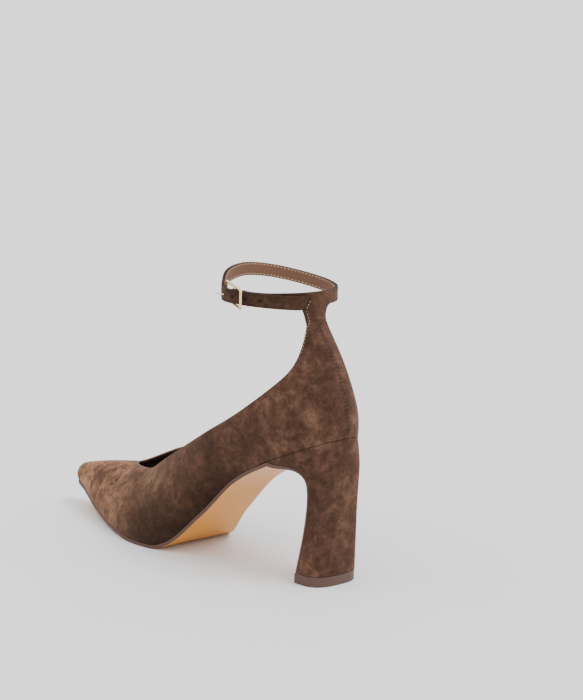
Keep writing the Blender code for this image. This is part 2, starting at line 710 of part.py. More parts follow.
def make_insole(material, collection):
    """Insole board inside the upper, on the sole and the heel."""
    edges = []
    inset = WALL + GAP + SEAM_ROOM
    last = int((HEEL_ROW - 0.5) * COLUMN_STEPS)
    for row in [i / COLUMN_STEPS for i in range(COLUMN_STEPS + 1, last + 1)]:
        pair = []
        for side in (1, -1):
            plan, normal = feather_plan(row, side)
            x, y = plan - normal * inset
            pair.append(np.array([x, y, bottom_height(x) + INSOLE_THICKNESS]))
        edges.append(pair)
    down = [np.array([0, 0, -1.0])] * len(edges)
    thickness = [INSOLE_THICKNESS] * len(edges)
    return ribbon("insole", edges, down, thickness, material, collection)


def wire(name, points, diameter, closed, material, collection, sides=2):
    """A bent metal wire, made a mesh."""
    curve = bpy.data.curves.new(name + "_wire", "CURVE")
    curve.dimensions = "3D"
    curve.bevel_depth = diameter / 2
    curve.bevel_resolution = sides
    curve.use_fill_caps = not closed
    spline = curve.splines.new("POLY")
    spline.points.add(len(points) - 1)
    for slot, point in zip(spline.points, points):
        slot.co = (*point, 1.0)
    spline.use_cyclic_u = closed
    bent = bpy.data.objects.new(name + "_wire", curve)
    collection.objects.link(bent)
    bpy.context.view_layer.update()
    mesh = bpy.data.meshes.new_from_object(bent.evaluated_get(bpy.context.evaluated_depsgraph_get()))
    bm = bmesh.new()
    bm.from_mesh(mesh)
    bmesh.ops.remove_doubles(bm, verts=bm.verts, dist=0.00001)
    bmesh.ops.recalc_face_normals(bm, faces=bm.faces)
    bpy.data.objects.remove(bent)
    bpy.data.meshes.remove(mesh)
    bpy.data.curves.remove(curve)
    return new_object(name, bm, material, collection)


def buckle_bars():
    """Centres of the front bar, inside the strap, and the free bar, outside it."""
    front_along = BUCKLE_BACK + BUCKLE_LENGTH
    clearance = BUCKLE_WIRE / 2 + GAP
    front_out = tail_outward(front_along) - WALL - clearance
    free_out = tail_outward(BUCKLE_BACK) + clearance
    return (strap_point(front_along, 0.5, front_out, BUCKLE_DROP),
            strap_point(BUCKLE_BACK, 0.5, free_out, BUCKLE_DROP))


def hinge_place():
    """Centre of the hinge bar, on the line between the two other bars."""
    front, free = buckle_bars()
    return front + (free - front) * (1 - (HINGE_ALONG - BUCKLE_BACK) / BUCKLE_LENGTH)


def make_buckle_frame(material, collection):
    """Bent wire frame round the strap."""
    front, free = buckle_bars()
    half = STRAP_WIDTH / 2 + BUCKLE_ROOM + BUCKLE_WIRE / 2
    corner = BUCKLE_CORNER
    along = (free - front) / np.linalg.norm(free - front)
    up = np.array([0, 0, 1.0])
    points = []
    for middle, way, first in ((front, along, 1), (free, -along, -1)):
        for end in (first, -first):
            centre = middle + way * corner + up * end * (half - corner)
            turns = (0, 30, 60, 90) if end == -first else (90, 60, 30, 0)
            for degrees in turns:
                angle = math.radians(degrees)
                points.append(centre - way * corner * math.cos(angle)
                              + up * end * corner * math.sin(angle))
    return wire("buckle_frame", points, BUCKLE_WIRE, True, material, collection)


def make_hinge_bar(material, collection):
    """Straight bar between the frame's sides, which carries the prong and the elastic."""
    place = hinge_place()
    half = np.array([0, 0, STRAP_WIDTH / 2])
    return wire("hinge_bar", [place - half, place, place + half], PRONG_WIRE, False,
                material, collection)


def make_buckle_prong(material, collection):
    """Prong hung on the hinge bar, its tip out through the strap's fourth hole."""
    hinge = hinge_place()
    hole = FIRST_HOLE + (HOLE_COUNT - 2) * HOLE_PITCH
    plan, normal = loop_plan(hole, tail_outward(hole) - WALL / 2)
    through = np.array([plan[0], plan[1], hole_height(hole)])
    outward = np.array([normal[0], normal[1], 0])
    radius = PRONG_WIRE + GAP
    foot = through - outward * (WALL / 2 + PRONG_WIRE)
    toward = foot - hinge
    toward[2] = 0
    toward /= np.linalg.norm(toward)
    across = outward - toward * outward.dot(toward)
    across /= np.linalg.norm(across)
    ring = []
    for degrees in range(130, 306, 35):
        angle = math.radians(degrees)
        ring.append(hinge + radius * (across * math.sin(angle) + toward * math.cos(angle)))
    head = through + outward * (WALL / 2 + PRONG_WIRE / 2)
    forward = np.array([outward[1], -outward[0], 0])
    tip = head + forward * PRONG_AHEAD + outward * PRONG_OUT + (0, 0, PRONG_LIFT)
    points = ring + [foot, through, head, tip]
    return wire("buckle_prong", points, PRONG_WIRE, False, material, collection)


def make_elastic(name, height, material, collection):
    """Elastic band round the hinge bar to the end of the short strap, above or below the prong."""
    hinge = hinge_place()
    radius = PRONG_WIRE / 2 + GAP + ELASTIC_THICKNESS / 2
    normal = loop_plan(HINGE_ALONG)[1]
    forward = np.array([normal[1], -normal[0]])
    line = []
    inner = -(WALL + GAP + ELASTIC_THICKNESS / 2)
    for along in np.linspace(TAB_END - ELASTIC_OVERLAP, TAB_END, 4):
        line.append(loop_plan(along, tab_outward(along) + inner)[0])
    for degrees in range(-90, 91, 30):
        angle = math.radians(degrees)
        line.append(hinge[:2] + radius * (forward * math.cos(angle) + normal * math.sin(angle)))
    line.append(loop_plan(TAB_END + GAP, tab_outward(TAB_END) - WALL / 2)[0])
    flat = np.array(line)
    along = np.gradient(flat, axis=0)
    along /= np.linalg.norm(along, axis=1)[:, None]
    sides = np.stack([-along[:, 1], along[:, 0]], axis=1) * ELASTIC_THICKNESS / 2
    low, high = hinge[2] + height - ELASTIC_WIDTH / 2, hinge[2] + height + ELASTIC_WIDTH / 2
    bm = bmesh.new()
    rows = [[bm.verts.new((*(place + offset), low)), bm.verts.new((*(place + offset), high)),
             bm.verts.new((*(place - offset), high)), bm.verts.new((*(place - offset), low))]
            for place, offset in zip(flat, sides)]
    for a, b in zip(rows, rows[1:]):
        for i in range(4):
            j = (i + 1) % 4
            bm.faces.new((a[i], a[j], b[j], b[i]))
    bm.faces.new(rows[0])
    bm.faces.new(rows[-1])
    bmesh.ops.recalc_face_normals(bm, faces=bm.faces)
    return new_object(name, bm, material, collection)


def main():
    for old in list(bpy.data.objects):
        bpy.data.objects.remove(old)
    shoe = bpy.data.collections.new("high_heel_shoe")
    cutters = bpy.data.collections.new("cutters")
    bpy.context.scene.collection.children.link(shoe)
    bpy.context.scene.collection.children.link(cutters)
    suede = new_material("suede", (0.105, 0.055, 0.036), 0.95)
    sole_leather = new_material("sole_leather", (0.56, 0.33, 0.15), 0.45)
    rubber = new_material("lift_rubber", (0.13, 0.07, 0.06), 0.6)
    lining = new_material("lining", (0.22, 0.12, 0.075), 0.6)
    gold = new_material("gold", (0.85, 0.67, 0.38), 0.25, 1.0)
    elastic = new_material("elastic", (0.065, 0.037, 0.024), 0.9)
    make_upper(suede, shoe, cutters)
    make_outsole(sole_leather, shoe)
    make_heel(suede, shoe)
    make_top_lift(rubber, shoe)
    make_insole(lining, shoe)
    make_buckle_frame(gold, shoe)
    make_buckle_prong(gold, shoe)
    make_hinge_bar(gold, shoe)
    for name, way in (("elastic_upper", 1), ("elastic_lower", -1)):
        make_elastic(name, way * (PRONG_WIRE / 2 + GAP + ELASTIC_WIDTH / 2), elastic, shoe)


main()
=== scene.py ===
"""Looks of the high heel shoe: suede, linings, stitches, painted edges, light, floor and camera.

The form functions are those of the part, run at a finer step.
"""
import math

import bmesh
import bpy
import numpy as np
from mathutils import Matrix, Vector


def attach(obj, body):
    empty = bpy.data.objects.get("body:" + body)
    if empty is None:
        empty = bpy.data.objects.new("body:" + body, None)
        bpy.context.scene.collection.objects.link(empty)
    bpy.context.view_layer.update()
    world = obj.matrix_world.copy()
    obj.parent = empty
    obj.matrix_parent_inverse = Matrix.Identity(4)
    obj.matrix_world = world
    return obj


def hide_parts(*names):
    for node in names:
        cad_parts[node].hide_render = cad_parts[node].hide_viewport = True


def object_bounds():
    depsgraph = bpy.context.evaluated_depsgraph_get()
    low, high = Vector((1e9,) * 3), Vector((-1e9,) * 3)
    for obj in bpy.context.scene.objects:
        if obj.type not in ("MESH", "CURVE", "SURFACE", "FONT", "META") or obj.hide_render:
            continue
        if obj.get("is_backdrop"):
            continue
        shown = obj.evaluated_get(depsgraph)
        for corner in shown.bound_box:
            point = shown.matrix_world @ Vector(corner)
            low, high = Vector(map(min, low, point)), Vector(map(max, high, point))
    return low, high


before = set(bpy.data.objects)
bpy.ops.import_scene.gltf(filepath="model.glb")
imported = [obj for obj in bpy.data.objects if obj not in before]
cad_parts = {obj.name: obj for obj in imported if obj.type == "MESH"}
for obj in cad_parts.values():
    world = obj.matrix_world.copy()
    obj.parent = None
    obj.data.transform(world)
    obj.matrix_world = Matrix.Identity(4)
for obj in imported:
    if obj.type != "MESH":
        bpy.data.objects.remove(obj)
size_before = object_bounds()

# Driving sizes of the last
LENGTH = 0.2490            # heel's back to the tip of the toe
BALL_WIDTH = 0.0695        # feather edge to feather edge across the ball
SEAT_HEIGHT = 0.0817       # feather edge at the heel's back above that at the tread
TOE_SPRING = 0.0138        # rise of the feather edge from the tread to the tip
INSTEP_HEIGHT = 0.0500     # topline above the sole where the foot bends

# Upper
WALL = 0.0018              # outer leather and lining together
NECK_WIDTH = 0.0145        # narrowest width of the strip that rises from the counter
NECK_SIDE = 0.0006         # its middle from the back seam, to the lateral side
NECK_HEIGHT = 0.0726       # narrowest place of that strip above the seat
NECK_LEAN = 0.0016         # how far the neck leans back below the strap
FILLET_LATERAL = 0.0042    # corners between neck and strap
FILLET_MEDIAL = 0.0068

# Ankle strap
ANKLE_DEPTH = 0.0600
ANKLE_WIDTH = 0.0736
ANKLE_ROUNDNESS = 1.8      # exponent of the loop's oval, 2 is an ellipse
STRAP_WIDTH = 0.0075
STRAP_HEIGHT = 0.0816      # lower edge at the back above the seat
STRAP_RISE = 0.0104        # how much higher the front is than the back
STRAP_DIP = 0.0148         # how far both sides hang below a straight rise
STRAP_SAG = 0.0021         # how much lower the buckle hangs
SAG_ALONG = 0.0640         # its lowest place, along the loop from the back seam
SAG_REACH = 0.0190
TAIL_END = 0.0082          # distance of the tail's slanted end from the back seam
TAIL_SLANT = 0.0042        # how much longer its lower corner is than its upper
SLANT_REACH = 0.0120       # length over which the slant grows
TAIL_STEP = 0.0012         # the tail stands out this far, and as far again over the neck
TAIL_DROP = 0.0016         # the tail's end hangs lower than the strap
DROP_START = 0.0400        # where it begins to sink, from the back seam
DROP_REACH = 0.0300        # length over which it sinks
STEP_REACH = 0.0140        # length over which a layer steps out over another
TAIL_OVER_NECK = 0.0260    # the tail steps out over the neck from here
TAB_UNDER = 0.0080         # the short end steps in under the tail from here
STEP_BEFORE_BUCKLE = 0.0055
ELASTIC_REACH = 0.0046     # from the short end to the hinge bar
HOLE_DIAMETER = 0.0020
HOLE_PITCH = 0.0080
HOLE_COUNT = 5
FIRST_HOLE = 0.0339        # first hole's distance from the back seam

# Buckle
BUCKLE_BACK = 0.0440       # free bar, along the loop from the back seam
BUCKLE_LENGTH = 0.0230     # free bar to front bar, along the loop
HINGE_ALONG = 0.0555       # hinge bar between them, from the back seam
BUCKLE_WIRE = 0.0016
BUCKLE_CORNER = 0.0014     # radius of the frame's bends
BUCKLE_ROOM = 0.0006       # between its sides and the strap's edges, which curve
BUCKLE_DROP = 0.0006       # how much lower than the strap's middle it hangs
PRONG_WIRE = 0.0010
PRONG_AHEAD = 0.0026       # tip of the prong beyond its hole, along the strap
PRONG_OUT = 0.0030         # and away from it
PRONG_LIFT = 0.0006        # how much its tip rises over that length
PRONG_BALL = 0.62          # radius of its ball end, as a share of its wire

# Bottom
SOLE_THICKNESS = 0.0021
FLAP_THICKNESS = 0.0011    # the sole where it runs down the front of the heel
FLAP_TAPER = 0.45          # share of the heel's front over which it thins to that
INSOLE_THICKNESS = 0.0016
LIFT_HEIGHT = 0.0057
LIFT_DEPTH = 0.0184
LIFT_WIDTH = 0.0352
LIFT_SIDE = -0.0008        # its middle from the last's centre line
LIFT_STRAIGHT = 0.38       # share of its depth with straight sides
LIFT_ROUNDNESS = 2.6       # exponent of its rounded back, 2 is an ellipse
LIFT_INSET = 0.0042        # heel's back on the floor ahead of the last's back

# Clearances
GAP = 0.0003               # between pieces that touch
LAYER_GAP = 0.0006         # between the strap's tail and the strap under it
SEAM_ROOM = 0.0002         # more room round the insole, whose edge has wider facets

HEEL_BACK = -(LIFT_INSET + LIFT_DEPTH / 2)
TREAD_HEIGHT = SOLE_THICKNESS + GAP

# The feather edge seen from the side: station and height, as shares of LENGTH and SEAT_HEIGHT
SHANK_PROFILE = (
    (0.000, 1.000), (0.096, 0.876), (0.192, 0.752), (0.288, 0.590),
    (0.384, 0.296), (0.478, 0.038), (0.516, 0.000),
)
# and from the tread to the tip, as shares of LENGTH and TOE_SPRING
TOE_PROFILE = (
    (0.602, 0.000), (0.640, 0.035), (0.748, 0.190), (0.920, 0.680), (1.000, 1.000),
)

# Sections of the feather edge from the tip (0) to the heel's back (16).
# station: share of LENGTH. lateral, medial: side of the centre line, shares of BALL_WIDTH.
# low_out, high_out: bulge of the wall near the sole and near its top, shares of BALL_WIDTH.
# low_up, high_down: how far these bulges reach, shares of the wall's rise.
# turn: degrees from straight ahead in which the upper bulge points.
FEATHER_SECTIONS = (
    # station, lateral, medial, low_out, low_up, high_out, high_down, turn
    (0.9940, -0.078, -0.078, 0.036, 0.33, 0.080, 0.00, 0),
    (0.9780, -0.022, -0.136, 0.045, 0.33, 0.080, 0.01, 48),
    (0.9360, 0.030, -0.181, 0.036, 0.37, 0.100, 0.02, 80),
    (0.8670, 0.143, -0.259, 0.036, 0.37, 0.155, 0.03, 87),
    (0.7790, 0.277, -0.360, 0.043, 0.36, 0.200, 0.05, 76),
    (0.6910, 0.398, -0.449, 0.050, 0.37, 0.230, 0.10, 50),
    (0.5940, 0.492, -0.501, 0.057, 0.35, 0.170, 0.19, 72),
    (0.5100, 0.482, -0.390, 0.057, 0.32, 0.115, 0.26, 90),
    (0.4180, 0.386, -0.216, 0.070, 0.30, 0.080, 0.30, 90),
    (0.3210, 0.302, -0.199, 0.085, 0.33, 0.036, 0.36, 90),
    (0.2410, 0.290, -0.259, 0.085, 0.33, 0.014, 0.36, 90),
    (0.1690, 0.314, -0.331, 0.078, 0.33, 0.012, 0.36, 90),
    (0.1000, 0.318, -0.330, 0.064, 0.35, 0.026, 0.35, 97),
    (0.0440, 0.258, -0.254, 0.045, 0.43, 0.048, 0.31, 115),
    (0.0230, 0.200, -0.194, 0.031, 0.48, 0.064, 0.23, 135),
    (0.0104, 0.134, -0.128, 0.020, 0.50, 0.074, 0.20, 155),
    (0.0000, 0.000, 0.000, 0.014, 0.54, 0.077, 0.20, 180),
)
HEEL_ROW = len(FEATHER_SECTIONS) - 1
THROAT_ROW = 5
NECK_ROW = HEEL_ROW - 1
WING_ROW = 11

# The wall's upper edge for the same sections: the vamp's ridge up to THROAT_ROW, then the
# topline, which the neck ends. Stations and sides as above, heights as shares of INSTEP_HEIGHT.
TOP_SECTIONS = (
    # lateral station, side, height, medial station, side, height
    (0.966, -0.081, 0.242, 0.966, -0.081, 0.242),
    (0.952, -0.081, 0.282, 0.952, -0.081, 0.282),
    (0.924, -0.083, 0.347, 0.924, -0.083, 0.347),
    (0.871, -0.086, 0.450, 0.871, -0.086, 0.450),
    (0.815, -0.086, 0.545, 0.815, -0.086, 0.545),
    (0.747, -0.086, 0.644, 0.747, -0.086, 0.644),
    (0.647, 0.137, 0.728, 0.687, -0.345, 0.840),
    (0.554, 0.256, 0.928, 0.586, -0.403, 1.010),
    (0.430, 0.367, 1.006, 0.442, -0.410, 1.100),
    (0.337, 0.412, 0.780, 0.341, -0.410, 0.890),
    (0.265, 0.423, 0.672, 0.265, -0.410, 0.820),
    (0.195, 0.420, 0.712, 0.193, -0.403, 0.850),
    (0.1325, 0.386, 0.812, 0.1305, -0.366, 0.926),
    (0.0976, 0.299, 0.958, 0.1000, -0.262, 1.018),
    (0.0952, 0.193, 1.192, 0.0985, -0.150, 1.210),
)

# Rings of the heel from the top-lift (first) to the seat. Stations as shares of LENGTH, heights
# above the lift as shares of SEAT_HEIGHT, half width as a share of LIFT_WIDTH, and how far the
# ring has changed from the lift's outline to the seat's.
HEEL_RINGS = (
    # front station, front height, back station, back height, half width, blend
    (0.0827, 0.000, 0.0169, 0.000, 0.497, 0.00),
    (0.0771, 0.098, 0.0153, 0.098, 0.481, 0.00),
    (0.0683, 0.257, 0.0129, 0.257, 0.456, 0.00),
    (0.0602, 0.441, 0.0112, 0.441, 0.436, 0.05),
    (0.0562, 0.575, 0.0104, 0.588, 0.436, 0.15),
    (0.0586, 0.659, 0.0096, 0.685, 0.445, 0.30),
    (0.0703, 0.708, 0.0082, 0.759, 0.462, 0.47),
    (0.0904, 0.733, 0.0070, 0.820, 0.478, 0.64),
    (0.1165, 0.737, 0.0050, 0.875, 0.510, 0.80),
    (0.1446, 0.733, 0.0026, 0.920, 0.560, 0.93),
)

# Stitches, seam, bead and holes
EDGE_SHARE = 0.5           # thickness left at the folded topline, as a share of the wall
STITCH_INSET = 0.0016      # from the topline or the neck's edge
STITCHES = {
    # thread, pitch, share of the pitch that shows, width, height
    "lining_stitches": ("thread", 0.0021, 0.5, 0.00046, 0.00022),
    "strap_stitches": ("dark_thread", 0.0019, 0.55, 0.0004, 0.00012),
    "tail_stitches": ("thread", 0.0018, 0.5, 0.0003, 0.00012),
    "topline_stitches": ("brown_thread", 0.0021, 0.36, 0.0003, 0.00012),
    "neck_stitches_lateral": ("thread", 0.0019, 0.36, 0.00028, 0.00012),
    "neck_stitches_medial": ("brown_thread", 0.0019, 0.36, 0.00028, 0.00012),
    "seam_stitches": ("dark_thread", 0.0022, 0.5, 0.0003, 0.0001),
}
SKIN = 0.00003             # lines for stitches lie this far off the strap, neck and counter
WALL_SKIN = 0.00002        # and this far off the wall's sides and the seam's line
NECK_START = 13.8          # section number where the neck's thread begins
TAIL_STITCH_BACK = 0.0012  # stitches across the tail, from its end
TAIL_EDGE_AND_SHADOW = 0.0005         # thickness of the dark line at the tail's end: its cut edge with a painted shadow
SEAM_WIDTH = 0.0006
SEAM_DEPTH = 0.42          # how deep its middle lies, as a share of its width
SEAM_STITCH_SIDE = 0.0013
RIM_DIAMETER = 0.0009
RIM_ROWS = 1.5             # sections over which the throat's bead runs on either side
RIM_TAPER = 25             # of the bead's points that it takes to grow from either end
HOLE_PROUD = 0.00006

# Darker suede on the tail towards the buckle, and painted shade low on the wall's lateral side
TAIL_DARKNESS = 0.75
TAIL_DARK_START = 0.010
TAIL_DARK_REACH = 0.030
LOW_SHADE_START = 0.035     # from here it grows over the same length
LOW_SHADE_END = 0.158
LOW_SHADE_FADE = 0.045      # length over which it ends, ahead and upwards
LOW_SHADE_SINK = 0.006      # it begins to fade this far below the feather edge
LOW_SHADE_SIDE = 0.012      # from the centre line it grows over this width

# Light, floor and the photograph's camera, which was fitted to the shoe's outline
KEY_SUN = dict(azimuth=290, elevation=58, strength=1.9, angle=30)
WORLD_COLOR = (0.985, 0.99, 1.0, 1.0)
WORLD_STRENGTH = 1.70
FLOOR_COLOR = (0.765, 0.765, 0.765)
FLOOR_SIZE = 60.0
CAMERA_PLACE = (-0.74856, 0.74284, 0.30790)
CAMERA_RIGHT = (-0.686104, -0.727189, 0.021411)
CAMERA_UP = (0.135043, -0.098384, 0.985943)
CAMERA_FORWARD = (0.714860, -0.679351, -0.165703)
CAMERA_LENS = 100.22       # millimetres on a sensor 36 mm wide

# Fineness of the meshes
COLUMN_STEPS = 8           # columns between two sections
WALL_ROWS = 28
MITRE_LIMIT = 1.15         # how much longer than the wall a sharp corner may reach
NECK_STEPS = 8
NECK_RISE_STEPS = 10
TAB_STEPS = 30
STRAP_STEPS = 170
RING_STEPS = 6
HEEL_SIDE_STEPS = 36
LIFT_SIDE_SHARE = 0.30     # share of an outline's points on its straight side
SOLE_ACROSS = 12
SOLE_FIRST_ROW = 0.12      # the sole's blunt tip, as a section number


def spline_slopes(values, start=None):
    """Slopes of the cubic spline through evenly spaced rows, free where no slope is given."""
    rows = np.asarray(values, float)
    count = len(rows)
    matrix = np.zeros((count, count))
    right = np.zeros(rows.shape)
    for i in range(1, count - 1):
        matrix[i, i - 1:i + 2] = (1, 4, 1)
        right[i] = 3 * (rows[i + 1] - rows[i - 1])
    matrix[0, :2] = (2, 1) if start is None else (1, 0)
    right[0] = 3 * (rows[1] - rows[0]) if start is None else start
    matrix[-1, -2:] = (1, 2)
    right[-1] = 3 * (rows[-1] - rows[-2])
    return np.linalg.solve(matrix, right)


def cubic(t, start, end, start_slope, end_slope):
    return ((1 + 2 * t) * (1 - t) ** 2 * start + t * (1 - t) ** 2 * start_slope
            + t * t * (3 - 2 * t) * end - t * t * (1 - t) * end_slope)


def spline_at(values, slopes, place):
    """Point of the spline at a row number that need not be whole."""
    i = min(max(int(place), 0), len(values) - 2)
    return cubic(place - i, np.asarray(values[i], float), np.asarray(values[i + 1], float),
                 slopes[i], slopes[i + 1])


def smooth(share):
    """Ease from 0 to 1."""
    t = min(max(share, 0.0), 1.0)
    return t * t * (3 - 2 * t)


BOTTOM_X, BOTTOM_Z = np.array(
    [(HEEL_BACK + LENGTH * x, TREAD_HEIGHT + SEAT_HEIGHT * z) for x, z in SHANK_PROFILE]
    + [(HEEL_BACK + LENGTH * x, TREAD_HEIGHT + TOE_SPRING * z) for x, z in TOE_PROFILE]).T


def bottom_slopes():
    """Slopes with which the bottom's curve never overshoots its points."""
    step = np.diff(BOTTOM_X)
    rise = np.diff(BOTTOM_Z) / step
    slope = np.concatenate([rise[:1], np.zeros(len(rise) - 1), rise[-1:]])
    for i in range(1, len(rise)):
        if rise[i - 1] * rise[i] > 0:
            before, after = 2 * step[i] + step[i - 1], step[i] + 2 * step[i - 1]
            slope[i] = (before + after) / (before / rise[i - 1] + after / rise[i])
    return slope


BOTTOM_SLOPES = bottom_slopes()


def bottom_height(x):
    """Height of the last's bottom, which is ruled across the shoe."""
    i = int(np.clip(np.searchsorted(BOTTOM_X, x) - 1, 0, len(BOTTOM_X) - 2))
    step = BOTTOM_X[i + 1] - BOTTOM_X[i]
    t = (x - BOTTOM_X[i]) / step
    if t < 0 or t > 1:
        edge = 0 if t < 0 else -1
        return BOTTOM_Z[edge] + BOTTOM_SLOPES[edge] * (x - BOTTOM_X[edge])
    return cubic(t, BOTTOM_Z[i], BOTTOM_Z[i + 1],
                 step * BOTTOM_SLOPES[i], step * BOTTOM_SLOPES[i + 1])


def level(plan, height=0.0):
    """A place or direction of the plan, at that height."""
    return np.array([plan[0], plan[1], height])


def unit(vector):
    return vector / np.linalg.norm(vector)


# Rows round the feather loop: tip, lateral side, heel's back, medial side. The last three stand
# before them too and the first four after, so that the spline closes smoothly.
FEATHER_LOOP = [np.array([r[0] * LENGTH, r[side] * BALL_WIDTH])
                for side, rows in ((1, FEATHER_SECTIONS), (2, FEATHER_SECTIONS[-2:0:-1]))
                for r in rows]
FEATHER_LOOP = FEATHER_LOOP[-3:] + FEATHER_LOOP + FEATHER_LOOP[:4]
FEATHER_SLOPES = spline_slopes(FEATHER_LOOP)
BULGES = [np.array([r[3] * BALL_WIDTH, r[4], r[5] * BALL_WIDTH, r[6], math.radians(r[7])])
          for r in FEATHER_SECTIONS]
BULGE_SLOPES = spline_slopes(BULGES)


def feather_plan(row, side):
    """Feather edge from above at a section number, side +1 lateral or -1 medial, and its normal."""
    place = 3 + (row if side > 0 else 2 * HEEL_ROW - row)
    behind, point, ahead = (spline_at(FEATHER_LOOP, FEATHER_SLOPES, place + step)
                            for step in (-0.01, 0, 0.01))
    along = unit(ahead - behind)
    return point + (HEEL_BACK, 0), np.array([along[1], -along[0]])


def feather_point(row, side):
    plan = feather_plan(row, side)[0]
    return level(plan, bottom_height(plan[0]))


# Ankle loop seen from above, by distance along it from the back seam, lateral side positive
LOOP_BACK = HEEL_BACK + 0.107 * LENGTH
LOOP_POINTS = 1440
LOOP_STEP = 0.0015         # to either side, for its direction


def ankle_oval():
    turn = np.linspace(math.pi, -math.pi, LOOP_POINTS + 1)
    cosine, sine = np.cos(turn), np.sin(turn)
    power = 2 / ANKLE_ROUNDNESS
    x = LOOP_BACK + ANKLE_DEPTH / 2 * (1 + np.sign(cosine) * abs(cosine) ** power)
    y = ANKLE_WIDTH / 2 * np.sign(sine) * abs(sine) ** power
    along = np.concatenate([[0], np.cumsum(np.hypot(np.diff(x), np.diff(y)))])
    return x, y, along


OVAL_X, OVAL_Y, OVAL_ALONG = ankle_oval()
LOOP_LENGTH = OVAL_ALONG[-1]


def loop_plan(along, outward=0.0):
    """Point of the ankle loop and its outward normal."""
    def bare(a):
        a = a % LOOP_LENGTH
        return np.array([np.interp(a, OVAL_ALONG, OVAL_X), np.interp(a, OVAL_ALONG, OVAL_Y)])
    forward = unit(bare(along + LOOP_STEP) - bare(along - LOOP_STEP))
    normal = np.array([-forward[1], forward[0]])
    return bare(along) + normal * outward, normal


def strap_low(along):
    """Height of the strap's lower edge."""
    x = loop_plan(along)[0][0]
    share = (x - LOOP_BACK) / ANKLE_DEPTH
    seat = bottom_height(LOOP_BACK)
    sag = STRAP_SAG * smooth(1 - abs(along % LOOP_LENGTH - SAG_ALONG) / SAG_REACH)
    return seat + STRAP_HEIGHT + STRAP_RISE * share - STRAP_DIP * share * (1 - share) - sag


def strap_point(along, share, outward=0.0, drop=0.0):
    """Point on the strap's outer face; share is 0 at its lower edge and 1 at its upper."""
    return level(loop_plan(along, outward)[0], strap_low(along) + share * STRAP_WIDTH - drop)


def neck_along(across, share):
    """Place along the loop of a point across the neck, medial (-1) to lateral (1) edge."""
    fillet = FILLET_LATERAL if across > 0 else FILLET_MEDIAL
    return NECK_SIDE + across * (NECK_WIDTH / 2 + fillet * (1 - math.sqrt(1 - share ** 2)))


def neck_point(across, share):
    """Neck from its narrowest place (share 0) to the strap's lower edge (1)."""
    along = neck_along(across, share)
    waist = bottom_height(LOOP_BACK) + NECK_HEIGHT
    point = level(loop_plan(along)[0], waist + (strap_low(along) - waist) * share)
    return point - (NECK_LEAN * (1 - share) ** 2, 0, 0)


def top_row(side):
    """Upper ends of the wall's sections on one side."""
    first = 0 if side > 0 else 3
    rows = []
    for row in TOP_SECTIONS:
        x = HEEL_BACK + row[first] * LENGTH
        rows.append(np.array([x, row[first + 1] * BALL_WIDTH,
                              bottom_height(x) + row[first + 2] * INSTEP_HEIGHT]))
    rows.append(neck_point(side, 0))
    return rows


RIDGE = top_row(1)[:THROAT_ROW + 1]
RIDGE_SLOPES = spline_slopes(RIDGE)
TOPLINES = {side: top_row(side)[THROAT_ROW:] for side in (1, -1)}
THROAT_SPREAD = 0.30       # how square the throat's front is, as a share of BALL_WIDTH
TOPLINE_SLOPES = {
    side: spline_slopes(TOPLINES[side], start=np.array([0, side * THROAT_SPREAD * BALL_WIDTH, 0]))
    for side in (1, -1)}


def top_point(row, side):
    """Upper end of the wall at a section number."""
    if row <= THROAT_ROW:
        return spline_at(RIDGE, RIDGE_SLOPES, row)
    if row >= NECK_ROW:
        return neck_point(side * (HEEL_ROW - row), 0)
    return spline_at(TOPLINES[side], TOPLINE_SLOPES[side], row - THROAT_ROW)


def wall_point(row, side, share):
    """Point of the upper's outer face: share 0 at the feather edge, 1 at the top."""
    plan, normal = feather_plan(row, side)
    foot = level(plan, bottom_height(plan[0]))
    top = top_point(row, side)
    low_out, low_up, high_out, high_down, turn = spline_at(BULGES, BULGE_SLOPES, row)
    rise = top[2] - foot[2]
    low = foot + level(normal * low_out, low_up * rise)
    high = top + (math.cos(turn) * high_out, side * math.sin(turn) * high_out, -high_down * rise)
    t = share
    return ((1 - t) ** 3 * foot + 3 * t * (1 - t) ** 2 * low
            + 3 * t * t * (1 - t) * high + t ** 3 * top)


def bridge(bm, low, high, closed=False):
    """Quads between two rows of vertices."""
    for i in range(len(low) - (not closed)):
        j = (i + 1) % len(low)
        bm.faces.new((low[i], low[j], high[j], high[i]))


def add_grid(bm, rows):
    """Vertices at rows of points and quads between them."""
    verts = [[bm.verts.new(point) for point in row] for row in rows]
    for low, high in zip(verts, verts[1:]):
        bridge(bm, low, high)


def weld(bm):
    """Join the grids' shared edges and make the faces agree."""
    bmesh.ops.remove_doubles(bm, verts=bm.verts, dist=0.00002)
    bmesh.ops.dissolve_degenerate(bm, edges=bm.edges, dist=0.00001)
    bmesh.ops.recalc_face_normals(bm, faces=bm.faces)


def thicken(bm):
    """Make the upper's open surface a closed wall; the feather edge stays on the bottom."""
    bm.normal_update()
    counter = Vector(wall_point(HEEL_ROW, 1, 0.3))
    nearest = min(bm.verts, key=lambda v: (v.co - counter).length)
    sign = 1 if nearest.normal.x < 0 else -1
    outer, faces = list(bm.verts), list(bm.faces)
    rim = [e for e in bm.edges if len(e.link_faces) == 1]
    on_rim = {v for e in rim for v in e.verts}
    inner = {}
    for v in outer:
        place = v.co - v.normal * (sign * WALL * min(v.calc_shell_factor(), MITRE_LIMIT))
        if v in on_rim and abs(v.co.z - bottom_height(v.co.x)) < 0.00002:
            place.z = bottom_height(place.x)
        inner[v] = bm.verts.new(place)
    rim_pairs = [(e.link_loops[0].vert, e.link_loops[0].link_loop_next.vert) for e in rim]
    for face in faces:
        bm.faces.new([inner[v] for v in reversed(face.verts)])
    for a, b in rim_pairs:
        bm.faces.new((b, a, inner[a], inner[b]))
    bmesh.ops.recalc_face_normals(bm, faces=bm.faces)


